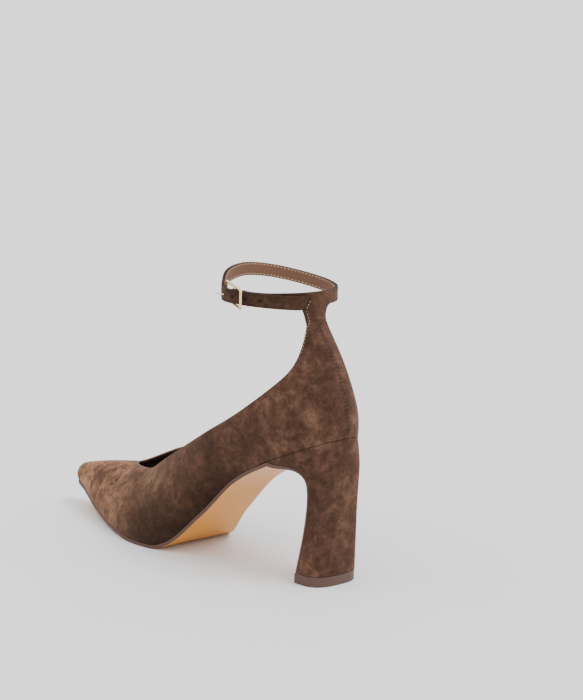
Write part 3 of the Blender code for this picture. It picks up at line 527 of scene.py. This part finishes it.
def wall_columns():
    """Section numbers of the wall's columns, tip to heel's back; the neck has finer ones."""
    rows = [i / COLUMN_STEPS for i in range(NECK_ROW * COLUMN_STEPS + 1)]
    return rows + [NECK_ROW + (i + 1) / NECK_STEPS for i in range(NECK_STEPS)]


def tail_drop(along):
    """The tail sinks a little towards its end."""
    return TAIL_DROP * smooth((DROP_START - along) / DROP_REACH)


def hole_height(along):
    return strap_low(along) + STRAP_WIDTH / 2 - tail_drop(along)


def tail_outward(along):
    """How far the long strap stands out from the loop as it comes to the buckle and passes it."""
    over_tab = BUCKLE_BACK + BUCKLE_LENGTH + STEP_BEFORE_BUCKLE
    return sum(TAIL_STEP * smooth((start - along) / STEP_REACH)
               for start in (over_tab, TAIL_OVER_NECK))


TAB_END = HINGE_ALONG - ELASTIC_REACH


def tab_outward(along):
    """The short strap lies inside the tail."""
    return -(WALL + LAYER_GAP - TAIL_STEP) * smooth((along - TAB_UNDER) / STEP_REACH)


def strap_stations():
    """Stations of the whole strip: tab's end, back seam, medial side, front, buckle, tail's end."""
    tab = list(np.linspace(TAB_END, neck_along(1, 1), TAB_STEPS + 1)[:-1])
    neck = [neck_along(1 - i / NECK_STEPS, 1) for i in range(2 * NECK_STEPS + 1)]
    return tab + neck + list(np.linspace(neck[-1], TAIL_END - LOOP_LENGTH, STRAP_STEPS + 1)[1:])


def strap_rows():
    """Two edges and the middle of the strap's outer face at each station."""
    rows = []
    for along in strap_stations():
        outward, drop, slant = tab_outward(along), 0.0, 0.0
        if along <= 0:
            around = along + LOOP_LENGTH
            outward, drop = tail_outward(around), tail_drop(around)
            slant = TAIL_SLANT * smooth((TAIL_END + SLANT_REACH - around) / SLANT_REACH)
        rows.append([strap_point(along + slant * (0.5 - share), share, outward, drop)
                     for share in (0.0, 0.5, 1.0)])
    return rows


def rgb(red, green, blue):
    """A colour given in screen values from 0 to 255, made linear."""
    return tuple(((c / 255 + 0.055) / 1.055) ** 2.4 if c > 10 else c / 3295
                 for c in (red, green, blue))


class Nodes:
    """Short hand for building a material's node tree."""

    def __init__(self, name):
        self.material = bpy.data.materials.new(name)
        self.material.use_nodes = True
        self.tree = self.material.node_tree
        self.shader = self.tree.nodes["Principled BSDF"]

    def feed(self, socket, value):
        """Join another node's output to the socket, or set its own value."""
        if isinstance(value, bpy.types.NodeSocket):
            self.tree.links.new(value, socket)
        else:
            socket.default_value = (*value, 1.0) if socket.type == "RGBA" else value

    def set(self, node=None, **values):
        """Set the shader's sockets, or another node's sockets and options."""
        node = node or self.shader
        for key, value in values.items():
            socket = key.replace("_", " ")
            if socket in node.inputs:
                self.feed(node.inputs[socket], value)
            else:
                setattr(node, key, value)
        return self

    def add(self, kind, **values):
        node = self.tree.nodes.new(kind)
        self.set(node, **values)
        return node

    def noise(self, scale, detail=3.0, roughness=0.5, distortion=0.0):
        if not hasattr(self, "place"):
            self.place = self.add("ShaderNodeTexCoord").outputs["Object"]
        return self.add("ShaderNodeTexNoise", Vector=self.place, Scale=scale, Detail=detail,
                        Roughness=roughness, Distortion=distortion).outputs["Fac"]

    def veins(self, scale, warp):
        """Distance to the borders of irregular cells, bent by noise."""
        bend = self.add("ShaderNodeTexNoise", Vector=self.place, Scale=scale * 1.3, Detail=3.0)
        bent = self.add("ShaderNodeVectorMath", operation="MULTIPLY_ADD")
        for socket, value in zip(bent.inputs, (bend.outputs["Color"], (warp,) * 3, self.place)):
            self.feed(socket, value)
        return self.add("ShaderNodeTexVoronoi", feature="DISTANCE_TO_EDGE", Scale=scale,
                        Vector=bent.outputs["Vector"]).outputs["Distance"]

    def ramp(self, value, stops):
        node = self.add("ShaderNodeValToRGB", Fac=value)
        elements = node.color_ramp.elements
        while len(elements) < len(stops):
            elements.new(0.5)
        for element, (place, color) in zip(elements, stops):
            element.position = place
            element.color = (*color, 1.0)
        return node.outputs["Color"]

    def math(self, operation, a, b=0.0, c=0.0):
        node = self.add("ShaderNodeMath", operation=operation)
        for socket, value in zip(node.inputs, (a, b, c)):
            self.feed(socket, value)
        return node.outputs[0]

    def mix(self, factor, a, b, blend="MIX"):
        node = self.add("ShaderNodeMix", data_type="RGBA", blend_type=blend)
        for socket in node.inputs:
            value = {"Factor_Float": factor, "A_Color": a, "B_Color": b}.get(socket.identifier)
            if value is not None:
                self.feed(socket, value)
        return next(s for s in node.outputs if s.identifier == "Result_Color")

    def bump(self, height, distance, strength=1.0):
        bump = self.add("ShaderNodeBump", Height=height, Distance=distance, Strength=strength)
        self.set(Normal=bump.outputs["Normal"])


def suede_material():
    """Brushed suede: patches where the nap lies light or dark, streaks and a short grain; a darker
    tail, painted shade low on the lateral wall, and a lighter toe that is partly painted light.
    """
    n = Nodes("suede_nap").set(Roughness=0.92, Sheen_Weight=0.25, Sheen_Roughness=0.45,
                               Sheen_Tint=rgb(190, 150, 125), Specular_IOR_Level=0.12)
    large = n.noise(40.0, 2.0, 0.5, 0.2)
    fine = n.noise(125.0, 6.0, 0.72, 0.25)
    patches = n.math("MULTIPLY_ADD", n.math("SUBTRACT", large, 0.5), 0.65, fine)
    base = n.ramp(patches, ((0.36, rgb(58, 39, 29)), (0.47, rgb(67, 46, 35)),
                            (0.58, rgb(79, 55, 43)), (0.74, rgb(100, 73, 57))))
    # Towards the toe the suede turns lighter and warmer with stronger veins: partly its own
    # mottling, partly painted light on the toe
    ahead = n.add("ShaderNodeSeparateXYZ", Vector=n.place).outputs["X"]
    toward_toe = n.add("ShaderNodeMapRange", interpolation_type="SMOOTHSTEP", Value=ahead,
                       From_Min=0.110, From_Max=0.215).outputs["Result"]
    toe = n.ramp(patches, ((0.35, rgb(84, 56, 40)), (0.47, rgb(120, 86, 62)),
                           (0.64, rgb(154, 116, 88))))
    border = n.ramp(n.veins(115.0, 0.012), ((0.0, (0.55, 0.50, 0.47)), (0.10, (0.84, 0.82, 0.81)),
                                            (0.25, (1.0, 1.0, 1.0))))
    base = n.mix(toward_toe, base, n.mix(0.7, toe, border, "MULTIPLY"))
    clusters = n.ramp(n.noise(250.0, 5.0, 0.75, 0.5), ((0.40, (0.62, 0.58, 0.55)),
                                                       (0.49, (0.97, 0.96, 0.95)),
                                                       (0.64, (1.14, 1.13, 1.12))))
    base = n.mix(n.math("MULTIPLY_ADD", toward_toe, 0.45, 0.4), base, clusters, "MULTIPLY")
    # Darker on the tail towards the buckle, and painted shade low on the wall's lateral side, read
    # from a vertex attribute
    tail_dark_and_shade_amount = n.add("ShaderNodeAttribute", attribute_name="tail_dark_and_painted_shade").outputs["Fac"]
    dark = n.ramp(fine, ((0.38, rgb(34, 22, 15)), (0.62, rgb(48, 33, 23))))
    grain = n.noise(560.0, 4.0, 0.8)
    speckle = n.ramp(grain, ((0.30, (0.72, 0.72, 0.72)), (0.50, (1.0, 1.0, 1.0)),
                             (0.70, (1.30, 1.28, 1.25))))
    n.set(Base_Color=n.mix(1.0, n.mix(tail_dark_and_shade_amount, base, dark), speckle, "MULTIPLY"))
    n.bump(n.math("MULTIPLY_ADD", fine, 0.6, grain), 0.00022, 0.6)
    return n.material


def leather_material(name, color, variation, roughness, grain=420.0, depth=0.00006):
    n = Nodes(name)
    tone = n.ramp(n.noise(38.0, 4.0, 0.6), ((0.3, tuple(c * (1 - variation) for c in color)),
                                            (0.7, tuple(c * (1 + variation) for c in color))))
    n.set(Roughness=roughness, Base_Color=tone).bump(n.noise(grain, 3.0, 0.6), depth)
    return n.material


def plain_material(name, color, roughness, metallic=0.0, specular=0.2):
    return Nodes(name).set(Base_Color=color, Roughness=roughness, Metallic=metallic,
                           Specular_IOR_Level=specular).material


MATERIALS = {
    "suede": suede_material(),
    "lining": leather_material("lining_leather", rgb(97, 62, 40), 0.08, 0.62),
    "edge": plain_material("cut_edge", rgb(46, 31, 24), 0.9),
    # The same lining leather, darker as painted shade inside the foot's part
    "lining_in_painted_shade": leather_material("lining_leather_in_painted_shade", rgb(46, 32, 25), 0.08, 0.7),
    "lip": plain_material("throat_lip", rgb(124, 96, 82), 0.8),
    "sole": leather_material("tan_sole", rgb(208, 140, 44), 0.04, 0.38, 160.0, 0.00004),
    "paint": plain_material("painted_edge", rgb(86, 62, 53), 0.6),
    "rubber": leather_material("lift_rubber_satin", rgb(74, 49, 38), 0.04, 0.55, 700.0),
    "gold": plain_material("pale_gold", rgb(240, 208, 150), 0.22, 1.0, 0.5),
    "elastic": leather_material("woven_elastic", rgb(72, 54, 43), 0.1, 0.85, 1500.0, 0.0001),
    "thread": plain_material("light_thread", rgb(188, 160, 134), 0.7),
    "dark_thread": plain_material("dark_thread", rgb(36, 24, 18), 0.8),
    "brown_thread": plain_material("brown_thread", rgb(100, 73, 57), 0.8),
    "hole": plain_material("hole_shade", rgb(24, 14, 10), 0.9),
}


def add_object(name, data):
    obj = bpy.data.objects.new(name, data)
    bpy.context.scene.collection.objects.link(obj)
    return obj


def new_object(name, bm, materials, stands_for=(), sharp_angle=40):
    """A piece of the shoe from a bmesh, on the one body."""
    mesh = bpy.data.meshes.new(name)
    bm.to_mesh(mesh)
    bm.free()
    mesh.shade_smooth()
    mesh.set_sharp_from_angle(angle=math.radians(sharp_angle))
    for key in materials:
        mesh.materials.append(MATERIALS[key])
    piece = add_object(name, mesh)
    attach(piece, "root")
    if stands_for:
        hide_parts(*stands_for)
    return piece


def make_upper():
    """Suede wall with the neck and the strap; its lining is darker inside the foot's part, where
    the darker colour is painted shade.
    """
    bm = bmesh.new()
    for side in (1, -1):
        add_grid(bm, [[wall_point(row, side, i / WALL_ROWS) for i in range(WALL_ROWS + 1)]
                      for row in wall_columns()])
    across = [-1 + i / NECK_STEPS for i in range(2 * NECK_STEPS + 1)]
    add_grid(bm, [[neck_point(a, math.sin(math.pi / 2 * j / NECK_RISE_STEPS)) for a in across]
                  for j in range(NECK_RISE_STEPS + 1)])
    add_grid(bm, strap_rows())
    weld(bm)
    outer, outer_points = len(bm.faces), len(bm.verts)
    thicken(bm)
    bm.verts.index_update()
    bm.faces.ensure_lookup_table()
    strap_from = bottom_height(LOOP_BACK) + NECK_HEIGHT
    skive(bm.faces[2 * outer:], outer_points, strap_from)
    # Below the strap's foot the lining takes the darker copy, painted shade inside the shoe
    for face in bm.faces[outer:2 * outer]:
        face.material_index = 1 if face.calc_center_median().z > strap_from else 3
    for face in bm.faces[2 * outer:]:
        face.material_index = 2
    upper = new_object("suede_upper", bm, ("suede", "lining", "edge", "lining_in_painted_shade"),
                       ("upper",), 55)
    # Per vertex, how far the suede darkens: on the tail towards the buckle, and as painted shade
    # low on the lateral wall
    nap = upper.data.attributes.new("tail_dark_and_painted_shade", "FLOAT", "POINT")
    for vertex, value in zip(upper.data.vertices, nap.data):
        value.value = tail_dark_and_painted_shade(vertex.co)


def skive(rim, outer_points, below):
    """Thin the folded topline: bring its inner corner nearer to the outer one."""
    pairs = {}
    for face in rim:
        for edge in face.edges:
            a, b = sorted(edge.verts, key=lambda v: v.index)
            if a.index < outer_points <= b.index:
                pairs[b] = a
    for inner, outer in pairs.items():
        if outer.co.z > bottom_height(outer.co.x) + WALL:
            share = EDGE_SHARE + (1 - EDGE_SHARE) * smooth((outer.co.z - below) / NECK_WIDTH + 1)
            inner.co = outer.co + (inner.co - outer.co) * share


def tail_dark_and_painted_shade(place):
    """How far the suede is darkened: on the tail towards the buckle, and as painted shade low on
    the wall's lateral side.
    """
    x, y, z = place
    if z > bottom_height(LOOP_BACK) + STRAP_HEIGHT - 2 * TAIL_DROP and y > 0:
        return TAIL_DARKNESS * smooth((x - TAIL_DARK_START) / TAIL_DARK_REACH)
    # Painted shade low on the lateral wall, fading ahead and upwards
    low = 1 - smooth((z - bottom_height(x) + LOW_SHADE_SINK) / LOW_SHADE_FADE)
    return (low * smooth((x - LOW_SHADE_START) / LOW_SHADE_START)
            * smooth((LOW_SHADE_END - x) / LOW_SHADE_FADE) * smooth(y / LOW_SHADE_SIDE))


def tube(name, points, diameter, closed, materials, stands_for=(), ball=False, taper=0):
    """A bent round wire; taper is how many of its points it takes to grow from either end."""
    curve = bpy.data.curves.new(name + "_line", "CURVE")
    curve.dimensions = "3D"
    curve.bevel_depth = diameter / 2
    curve.bevel_resolution = 6
    curve.use_fill_caps = not closed
    spline = curve.splines.new("POLY")
    spline.points.add(len(points) - 1)
    for i, (spot, point) in enumerate(zip(spline.points, points)):
        spot.co = (*point, 1.0)
        if taper:
            spot.radius = max(0.05, smooth(min(i, len(points) - 1 - i) / taper))
    spline.use_cyclic_u = closed
    bent = add_object(name + "_line", curve)
    bpy.context.view_layer.update()
    graph = bpy.context.evaluated_depsgraph_get()
    mesh = bpy.data.meshes.new_from_object(bent.evaluated_get(graph))
    bm = bmesh.new()
    bm.from_mesh(mesh)
    bmesh.ops.remove_doubles(bm, verts=bm.verts, dist=0.00001)
    bpy.data.objects.remove(bent)
    bpy.data.curves.remove(curve)
    if ball:
        knob = bmesh.ops.create_icosphere(bm, subdivisions=3, radius=diameter * PRONG_BALL)["verts"]
        bmesh.ops.translate(bm, vec=Vector(points[-1]), verts=knob)
    return new_object(name, bm, materials, stands_for)


def add_stitch(bm, start, end, normal, width, height):
    """One thread stitch: a low spindle lying on the surface."""
    along = end - start
    across = np.cross(normal, along)
    across *= width / 2 / np.linalg.norm(across)
    rings = []
    for share, size in ((0.0, 0.35), (0.22, 1.0), (0.78, 1.0), (1.0, 0.35)):
        middle = start + along * share
        rings.append([bm.verts.new(middle + across * size * math.cos(a)
                                   + normal * height * size * math.sin(a))
                      for a in (math.radians(d) for d in (0, 60, 120, 180, 270))])
    for a, b in zip(rings, rings[1:]):
        bridge(bm, a, b, True)
    bm.faces.new(rings[0][::-1])
    bm.faces.new(rings[-1])


def stitches(name, lines):
    """A piece of stitches at an even pitch along lines of (point, normal) pairs."""
    thread, pitch, share, width, height = STITCHES[name]
    bm = bmesh.new()
    for line in lines:
        points, normals = (np.array(column) for column in zip(*line))
        gone = np.concatenate([[0], np.cumsum(np.linalg.norm(np.diff(points, axis=0), axis=1))])
        for k in range(int(gone[-1] / pitch)):
            start, end, normal = (
                np.array([np.interp(at * pitch, gone, values[:, c]) for c in range(3)])
                for at, values in ((k, points), (k + share, points), (k + share / 2, normals)))
            add_stitch(bm, start, end, unit(normal), width, height)
    new_object(name, bm, (thread,))


def wall_normal(row, side, share, step=0.02):
    """Unit normal of the upper's outer face."""
    ahead = wall_point(row + step, side, share) - wall_point(row - step, side, share)
    up = (wall_point(row, side, min(share + step, 1.0))
          - wall_point(row, side, max(share - step, 0.0)))
    normal = unit(np.cross(ahead, up))
    return -normal if normal[1] * side < 0 else normal


def wall_line(side, rows):
    """Line on the outer face, a stitch's inset below the topline."""
    line = []
    for row in rows:
        drop = wall_point(row, side, 1.0) - wall_point(row, side, 0.9)
        share = 1 - 0.1 * STITCH_INSET / np.linalg.norm(drop)
        normal = wall_normal(row, side, share)
        line.append((wall_point(row, side, share) + normal * WALL_SKIN, normal))
    return line


def strap_spot(along, share, inward=False, skin=SKIN):
    """Place just off the long strap's outer or inner face and the normal there."""
    around = along + LOOP_LENGTH
    outward = tail_outward(around) - (WALL if inward else 0)
    normal = level(loop_plan(along)[1]) * (-1 if inward else 1)
    return strap_point(along, share, outward, tail_drop(around)) + normal * skin, normal


def across_tail(low, high, back=0.0, skin=SKIN):
    """Spots across the tail along its slanted end, so far back from it."""
    return [strap_spot(TAIL_END - LOOP_LENGTH + TAIL_SLANT * (0.5 - share) - back, share,
                       skin=skin)
            for share in np.linspace(low, high, 20)]


def ribbon(name, edges, down, thickness, slots, node):
    """A sheet between two edges, thick along the given downward directions."""
    bm = bmesh.new()
    tops, bottoms = [], []
    for (lateral, medial), direction, thick in zip(edges, down, thickness):
        row = [lateral + (medial - lateral) * i / SOLE_ACROSS for i in range(SOLE_ACROSS + 1)]
        tops.append([bm.verts.new(p) for p in row])
        bottoms.append([bm.verts.new(p + direction * thick) for p in row])
    for grid in (tops, bottoms):
        for a, b in zip(grid, grid[1:]):
            bridge(bm, a, b)
    for i in (0, -1):
        bridge(bm, [row[i] for row in tops], [row[i] for row in bottoms])
    for i in (0, -1):
        bridge(bm, tops[i], bottoms[i])
    bmesh.ops.recalc_face_normals(bm, faces=bm.faces)
    flat = (len(tops) - 1) * SOLE_ACROSS
    for i, face in enumerate(bm.faces):
        face.material_index = min(i // flat, 2)
    new_object(name, bm, slots, (node,))


def profile_down(edges):
    """Unit normals below the middle between two edges that run from the toe backwards."""
    line = np.array([(0.5 * (a + b))[[0, 2]] for a, b in edges])
    along = np.gradient(line, axis=0)
    along /= np.linalg.norm(along, axis=1)[:, None]
    return [np.array([-a[1], 0, a[0]]) for a in along]


HEEL_BASE = LIFT_HEIGHT + GAP


def heel_rows():
    """Front, back, half width and blend of the heel's rings, the seat's last."""
    rows = [np.array([HEEL_BACK + front_x * LENGTH, HEEL_BASE + front_z * SEAT_HEIGHT,
                      HEEL_BACK + back_x * LENGTH, HEEL_BASE + back_z * SEAT_HEIGHT,
                      half * LIFT_WIDTH, blend])
            for front_x, front_z, back_x, back_z, half, blend in HEEL_RINGS]
    wing, back = feather_point(WING_ROW, 1), feather_point(HEEL_ROW, 1)
    rows.append(np.array([wing[0], wing[2] - GAP, back[0], back[2] - GAP, wing[1], 1.0]))
    return rows


def outline_places():
    """Side and share of an outline's points, lateral front corner round the back to the medial."""
    shares = [i / HEEL_SIDE_STEPS for i in range(HEEL_SIDE_STEPS + 1)]
    return [(1, share) for share in shares] + [(-1, share) for share in shares[-2::-1]]


def lift_outline(share):
    """Depth and side of the lift's outline, front corner (0) to the back's centre (1)."""
    if share < LIFT_SIDE_SHARE:
        return 1 - LIFT_STRAIGHT * share / LIFT_SIDE_SHARE, 1.0
    angle = math.pi / 2 * (share - LIFT_SIDE_SHARE) / (1 - LIFT_SIDE_SHARE)
    power = 2 / LIFT_ROUNDNESS
    return (1 - LIFT_STRAIGHT) * (1 - math.sin(angle) ** power), math.cos(angle) ** power


def heel_ring(place, rows, slopes):
    """Points of one ring from the lateral front corner round the back to the medial one."""
    front_x, front_z, back_x, back_z, half, blend = spline_at(rows, slopes, place)
    wing_x = feather_point(WING_ROW, 1)[0]
    seat_back = feather_point(HEEL_ROW, 1)[0]
    points = []
    for side, share in outline_places():
        seat = feather_point(WING_ROW + (HEEL_ROW - WING_ROW) * share, side)
        seat_depth = (seat[0] - seat_back) / (wing_x - seat_back)
        depth, width = lift_outline(share)
        depth += (seat_depth - depth) * blend
        y = (LIFT_SIDE + side * width * half) * (1 - blend) + seat[1] * blend
        points.append(np.array([back_x + (front_x - back_x) * depth, y,
                                back_z + (front_z - back_z) * depth]))
        if place >= len(rows) - 1:
            points[-1] = seat - (0, 0, GAP)
    return points


def all_heel_rings():
    rows = heel_rows()
    slopes = spline_slopes(rows)
    count = (len(rows) - 1) * RING_STEPS
    return [heel_ring(i / RING_STEPS, rows, slopes) for i in range(count + 1)]


def make_heel():
    """Flared block heel whose wings run forward under the seat."""
    bm = bmesh.new()
    rings = [[bm.verts.new(p) for p in ring] for ring in all_heel_rings()]
    count = len(rings[0])
    middle = count // 2
    for low, high in zip(rings, rings[1:]):
        bridge(bm, low, high, True)
    for ring in (rings[0], rings[-1]):
        for i in range(middle - 1):
            bm.faces.new((ring[i], ring[i + 1], ring[count - 2 - i], ring[count - 1 - i]))
        bm.faces.new((ring[middle - 1], ring[middle], ring[middle + 1]))
    bmesh.ops.recalc_face_normals(bm, faces=bm.faces)
    new_object("covered_heel", bm, ("suede",), ("heel",))


def make_top_lift():
    """Rubber lift under the heel and the sole's flap, slightly proud in front."""
    bm = bmesh.new()
    outline = []
    for side, share in outline_places():
        depth, width = lift_outline(share)
        outline.append((HEEL_BACK + LIFT_INSET + LIFT_DEPTH * depth,
                        LIFT_SIDE + side * width * LIFT_WIDTH / 2))
    rings = [[bm.verts.new((x, y, z)) for x, y in outline] for z in (0, LIFT_HEIGHT)]
    for ring in rings:
        bm.faces.new(ring)
    bridge(bm, *rings, True)
    bmesh.ops.recalc_face_normals(bm, faces=bm.faces)
    new_object("rubber_lift", bm, ("rubber",), ("top_lift",))


def sole_edges():
    """Edges of the outsole's upper face: toe, tread, shank, heel's wings, down its front."""
    edges = []
    for row in [SOLE_FIRST_ROW] + [i / COLUMN_STEPS for i in range(1, COLUMN_STEPS * WING_ROW)]:
        room = level((0, 0), GAP * (1 + smooth(row - WING_ROW + 1)))
        edges.append([feather_point(row, side) - room for side in (1, -1)])
    corners = [(ring[0], ring[-1]) for ring in all_heel_rings()[::-1]]
    for (lateral, medial), direction in zip(corners, profile_down(corners)):
        edges.append([lateral + direction * GAP, medial + direction * GAP])
    return edges


def make_outsole():
    """Leather sole from the tip to the top-lift, thinner down the heel's front."""
    edges = sole_edges()
    down = profile_down(edges)
    down[-1] = np.array([1.0, 0, 0])
    rings = len(HEEL_RINGS) * RING_STEPS + 1
    first = len(edges) - rings
    thickness = [SOLE_THICKNESS + (FLAP_THICKNESS - SOLE_THICKNESS)
                 * smooth((i - first) / (rings * FLAP_TAPER)) for i in range(len(edges))]
    # The sole's upper face, seen only in the gap under the upper, takes the darker edge paint as
    # painted shade in that gap
    ribbon("leather_sole", edges, down, thickness, ("paint", "sole", "paint"),
           "outsole")


def make_insole():
    """Insole board inside the upper, on the sole and the heel."""
    edges = []
    for i in range(COLUMN_STEPS + 1, int((HEEL_ROW - 0.5) * COLUMN_STEPS) + 1):
        pair = []
        for side in (1, -1):
            plan, normal = feather_plan(i / COLUMN_STEPS, side)
            place = plan - normal * (WALL + GAP + SEAM_ROOM)
            pair.append(level(place, bottom_height(place[0]) + INSOLE_THICKNESS))
        edges.append(pair)
    ribbon("leather_sock", edges, [np.array([0, 0, -1.0])] * len(edges),
           [INSOLE_THICKNESS] * len(edges), ("lining", "lining", "edge"), "insole")


def buckle_bars():
    """Centres of the front bar, inside the strap, and the free bar, outside it."""
    front = BUCKLE_BACK + BUCKLE_LENGTH
    clearance = BUCKLE_WIRE / 2 + GAP
    return (strap_point(front, 0.5, tail_outward(front) - WALL - clearance, BUCKLE_DROP),
            strap_point(BUCKLE_BACK, 0.5, tail_outward(BUCKLE_BACK) + clearance, BUCKLE_DROP))


def hinge_place():
    """Centre of the hinge bar, on the line between the two other bars."""
    front, free = buckle_bars()
    return front + (free - front) * (1 - (HINGE_ALONG - BUCKLE_BACK) / BUCKLE_LENGTH)


def make_buckle_frame():
    """Bent wire frame round the strap."""
    front, free = buckle_bars()
    half = STRAP_WIDTH / 2 + BUCKLE_ROOM + BUCKLE_WIRE / 2
    along = unit(free - front)
    up = np.array([0, 0, 1.0])
    points = []
    for middle, way, first in ((front, along, 1), (free, -along, -1)):
        for end in (first, -first):
            centre = middle + way * BUCKLE_CORNER + up * end * (half - BUCKLE_CORNER)
            for degrees in range(0, 91, 10) if end == -first else range(90, -1, -10):
                angle = math.radians(degrees)
                points.append(centre - way * BUCKLE_CORNER * math.cos(angle)
                              + up * end * BUCKLE_CORNER * math.sin(angle))
    tube("gold_frame", points, BUCKLE_WIRE, True, ("gold",), ("buckle_frame",))


def make_buckle_prong():
    """Prong hung on the hinge bar, its tip out through the strap's fourth hole."""
    hinge = hinge_place()
    hole = FIRST_HOLE + (HOLE_COUNT - 2) * HOLE_PITCH
    plan, normal = loop_plan(hole, tail_outward(hole) - WALL / 2)
    through, outward = level(plan, hole_height(hole)), level(normal)
    foot = through - outward * (WALL / 2 + PRONG_WIRE)
    toward = unit(level(foot - hinge))
    across = unit(outward - toward * outward.dot(toward))
    points = [hinge + (PRONG_WIRE + GAP) * (across * math.sin(a) + toward * math.cos(a))
              for a in (math.radians(degrees) for degrees in range(130, 306, 35))]
    head = through + outward * (WALL / 2 + PRONG_WIRE / 2)
    forward = np.array([outward[1], -outward[0], 0])
    tip = head + forward * PRONG_AHEAD + outward * PRONG_OUT + (0, 0, PRONG_LIFT)
    tube("gold_prong", points + [foot, through, head, tip], PRONG_WIRE, False, ("gold",),
         ("buckle_prong",), ball=True)


def neck_edge_line(side):
    """Line up the neck's edge on its outer face, from the wall to the strap."""
    line = []
    for share in np.linspace(0, 0.97, 24):
        edge = neck_along(side, share)
        point = neck_point(side * (1 - STITCH_INSET / abs(edge - NECK_SIDE)), share)
        normal = level(loop_plan(edge)[1])
        line.append((point + normal * SKIN, normal))
    return line


def make_stitches():
    """Rows of thread: round the strap, at the tail's end, below the topline and up the neck."""
    round_front = np.linspace(neck_along(-1, 1) - 0.002, TAIL_END + 0.004 - LOOP_LENGTH, 400)
    for name, inward, shares in (("lining_stitches", True, (0.13, 0.87)),
                                 ("strap_stitches", False, (0.14, 0.86))):
        stitches(name, [[strap_spot(along, share, inward) for along in round_front]
                        for share in shares])
    stitches("tail_stitches", [across_tail(0.12, 0.88, TAIL_STITCH_BACK)])
    # Dark line at the tail's slanted end: its cut edge, and painted shadow along it
    edge = [point for point, _ in across_tail(-0.02, 1.02, skin=0.0)]
    tube("tail_end_edge_and_shadow", edge, TAIL_EDGE_AND_SHADOW, False, ("edge",))
    stitches("topline_stitches",
             [wall_line(side, np.linspace(THROAT_ROW + 0.6, NECK_START, 160)) for side in (1, -1)])
    for name, side in (("neck_stitches_lateral", 1), ("neck_stitches_medial", -1)):
        stitches(name, [wall_line(side, np.linspace(NECK_START, NECK_ROW, 60))
                        + neck_edge_line(side)])


def make_throat_rim():
    """Thin light bead on the folded edge at the front of the opening."""
    rows = np.linspace(THROAT_ROW, THROAT_ROW + RIM_ROWS, 60)
    line = [wall_point(row, 1, 1.0) for row in rows[::-1]]
    line += [wall_point(row, -1, 1.0) for row in rows[1:]]
    tube("throat_rim", [point - (0, 0, RIM_DIAMETER / 4) for point in line], RIM_DIAMETER, False,
         ("lip",), taper=RIM_TAPER)


def make_back_seam():
    """Dark closed seam down the counter with a row of stitches on either side."""
    line = []
    for share in np.linspace(0.98, 0.02, 60):
        ahead = wall_point(HEEL_ROW, 1, share + 0.01) - wall_point(HEEL_ROW, 1, share - 0.01)
        normal = unit(np.array([-ahead[2], 0, ahead[0]]))
        line.append((wall_point(HEEL_ROW, 1, share) + normal * SKIN, normal))
    tube("back_seam", [point - normal * SEAM_WIDTH * SEAM_DEPTH for point, normal in line],
         SEAM_WIDTH, False, ("dark_thread",))
    stitches("seam_stitches", [[(point + (0, side * SEAM_STITCH_SIDE, 0) + normal * WALL_SKIN,
                                 normal) for point, normal in line] for side in (-1, 1)])


def make_holes():
    """Discs of painted shade at the mouths of the punched holes, on both faces of the tail."""
    bm = bmesh.new()
    for i in range(HOLE_COUNT):
        along = FIRST_HOLE + i * HOLE_PITCH
        for outward in (tail_outward(along), tail_outward(along) - WALL):
            plan, normal = loop_plan(along, outward)
            turn = Vector(level(normal)).to_track_quat("Z", "Y").to_matrix().to_4x4()
            place = Matrix.Translation(Vector(level(plan, hole_height(along))))
            bmesh.ops.create_cone(bm, cap_ends=True, segments=24, radius1=HOLE_DIAMETER / 2,
                                  radius2=HOLE_DIAMETER / 2, depth=HOLE_PROUD * 2,
                                  matrix=place @ turn)
    new_object("hole_mouths", bm, ("hole",))


def dress_frame():
    """The small CAD pieces that are shown as they are."""
    for node, key in (("hinge_bar", "gold"), ("elastic_upper", "elastic"),
                      ("elastic_lower", "elastic")):
        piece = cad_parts[node]
        piece.data.materials.clear()
        piece.data.materials.append(MATERIALS[key])


def make_stage():
    """Pale floor and an even bright surround."""
    floor_mesh = bpy.data.meshes.new("floor")
    bm = bmesh.new()
    bmesh.ops.create_grid(bm, x_segments=1, y_segments=1, size=FLOOR_SIZE)
    bm.to_mesh(floor_mesh)
    bm.free()
    floor = add_object("floor", floor_mesh)
    floor_mesh.materials.append(plain_material("pale_floor", FLOOR_COLOR, 0.9))
    floor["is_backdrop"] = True
    world = bpy.data.worlds.new("studio")
    world.use_nodes = True
    background = world.node_tree.nodes["Background"]
    background.inputs["Color"].default_value = WORLD_COLOR
    background.inputs["Strength"].default_value = WORLD_STRENGTH
    bpy.context.scene.world = world


def add_sun(name, azimuth, elevation, strength, angle):
    """A soft distant light from that side, as degrees round the shoe like a view's."""
    data = bpy.data.lights.new(name, "SUN")
    data.energy = strength
    data.angle = math.radians(angle)
    lamp = add_object(name, data)
    a, e = math.radians(azimuth), math.radians(elevation)
    toward = Vector((math.sin(a) * math.cos(e), -math.cos(a) * math.cos(e), math.sin(e)))
    lamp.rotation_euler = toward.to_track_quat("Z", "Y").to_euler()
    lamp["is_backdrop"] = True


def make_camera():
    data = bpy.data.cameras.new("camera")
    data.sensor_width = 36.0
    data.lens = CAMERA_LENS
    data.clip_end = 500.0
    data.clip_start = 0.01
    camera = add_object("camera", data)
    turn = Matrix((CAMERA_RIGHT, CAMERA_UP, -Vector(CAMERA_FORWARD))).transposed()
    camera.matrix_world = Matrix.Translation(CAMERA_PLACE) @ turn.to_4x4()
    bpy.context.scene.camera = camera


make_upper()
make_outsole()
make_insole()
make_heel()
make_top_lift()
make_buckle_frame()
make_buckle_prong()
dress_frame()
make_stitches()
make_throat_rim()
make_back_seam()
make_holes()
make_stage()
add_sun("key", **KEY_SUN)
make_camera()


def plain(value):
    """Nested sequences of numbers as plain lists."""
    if hasattr(value, "__len__"):
        return [plain(v) for v in value]
    return float(value)


size_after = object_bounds()
{"frame": plain(size_before), "dressed": plain(size_after)}
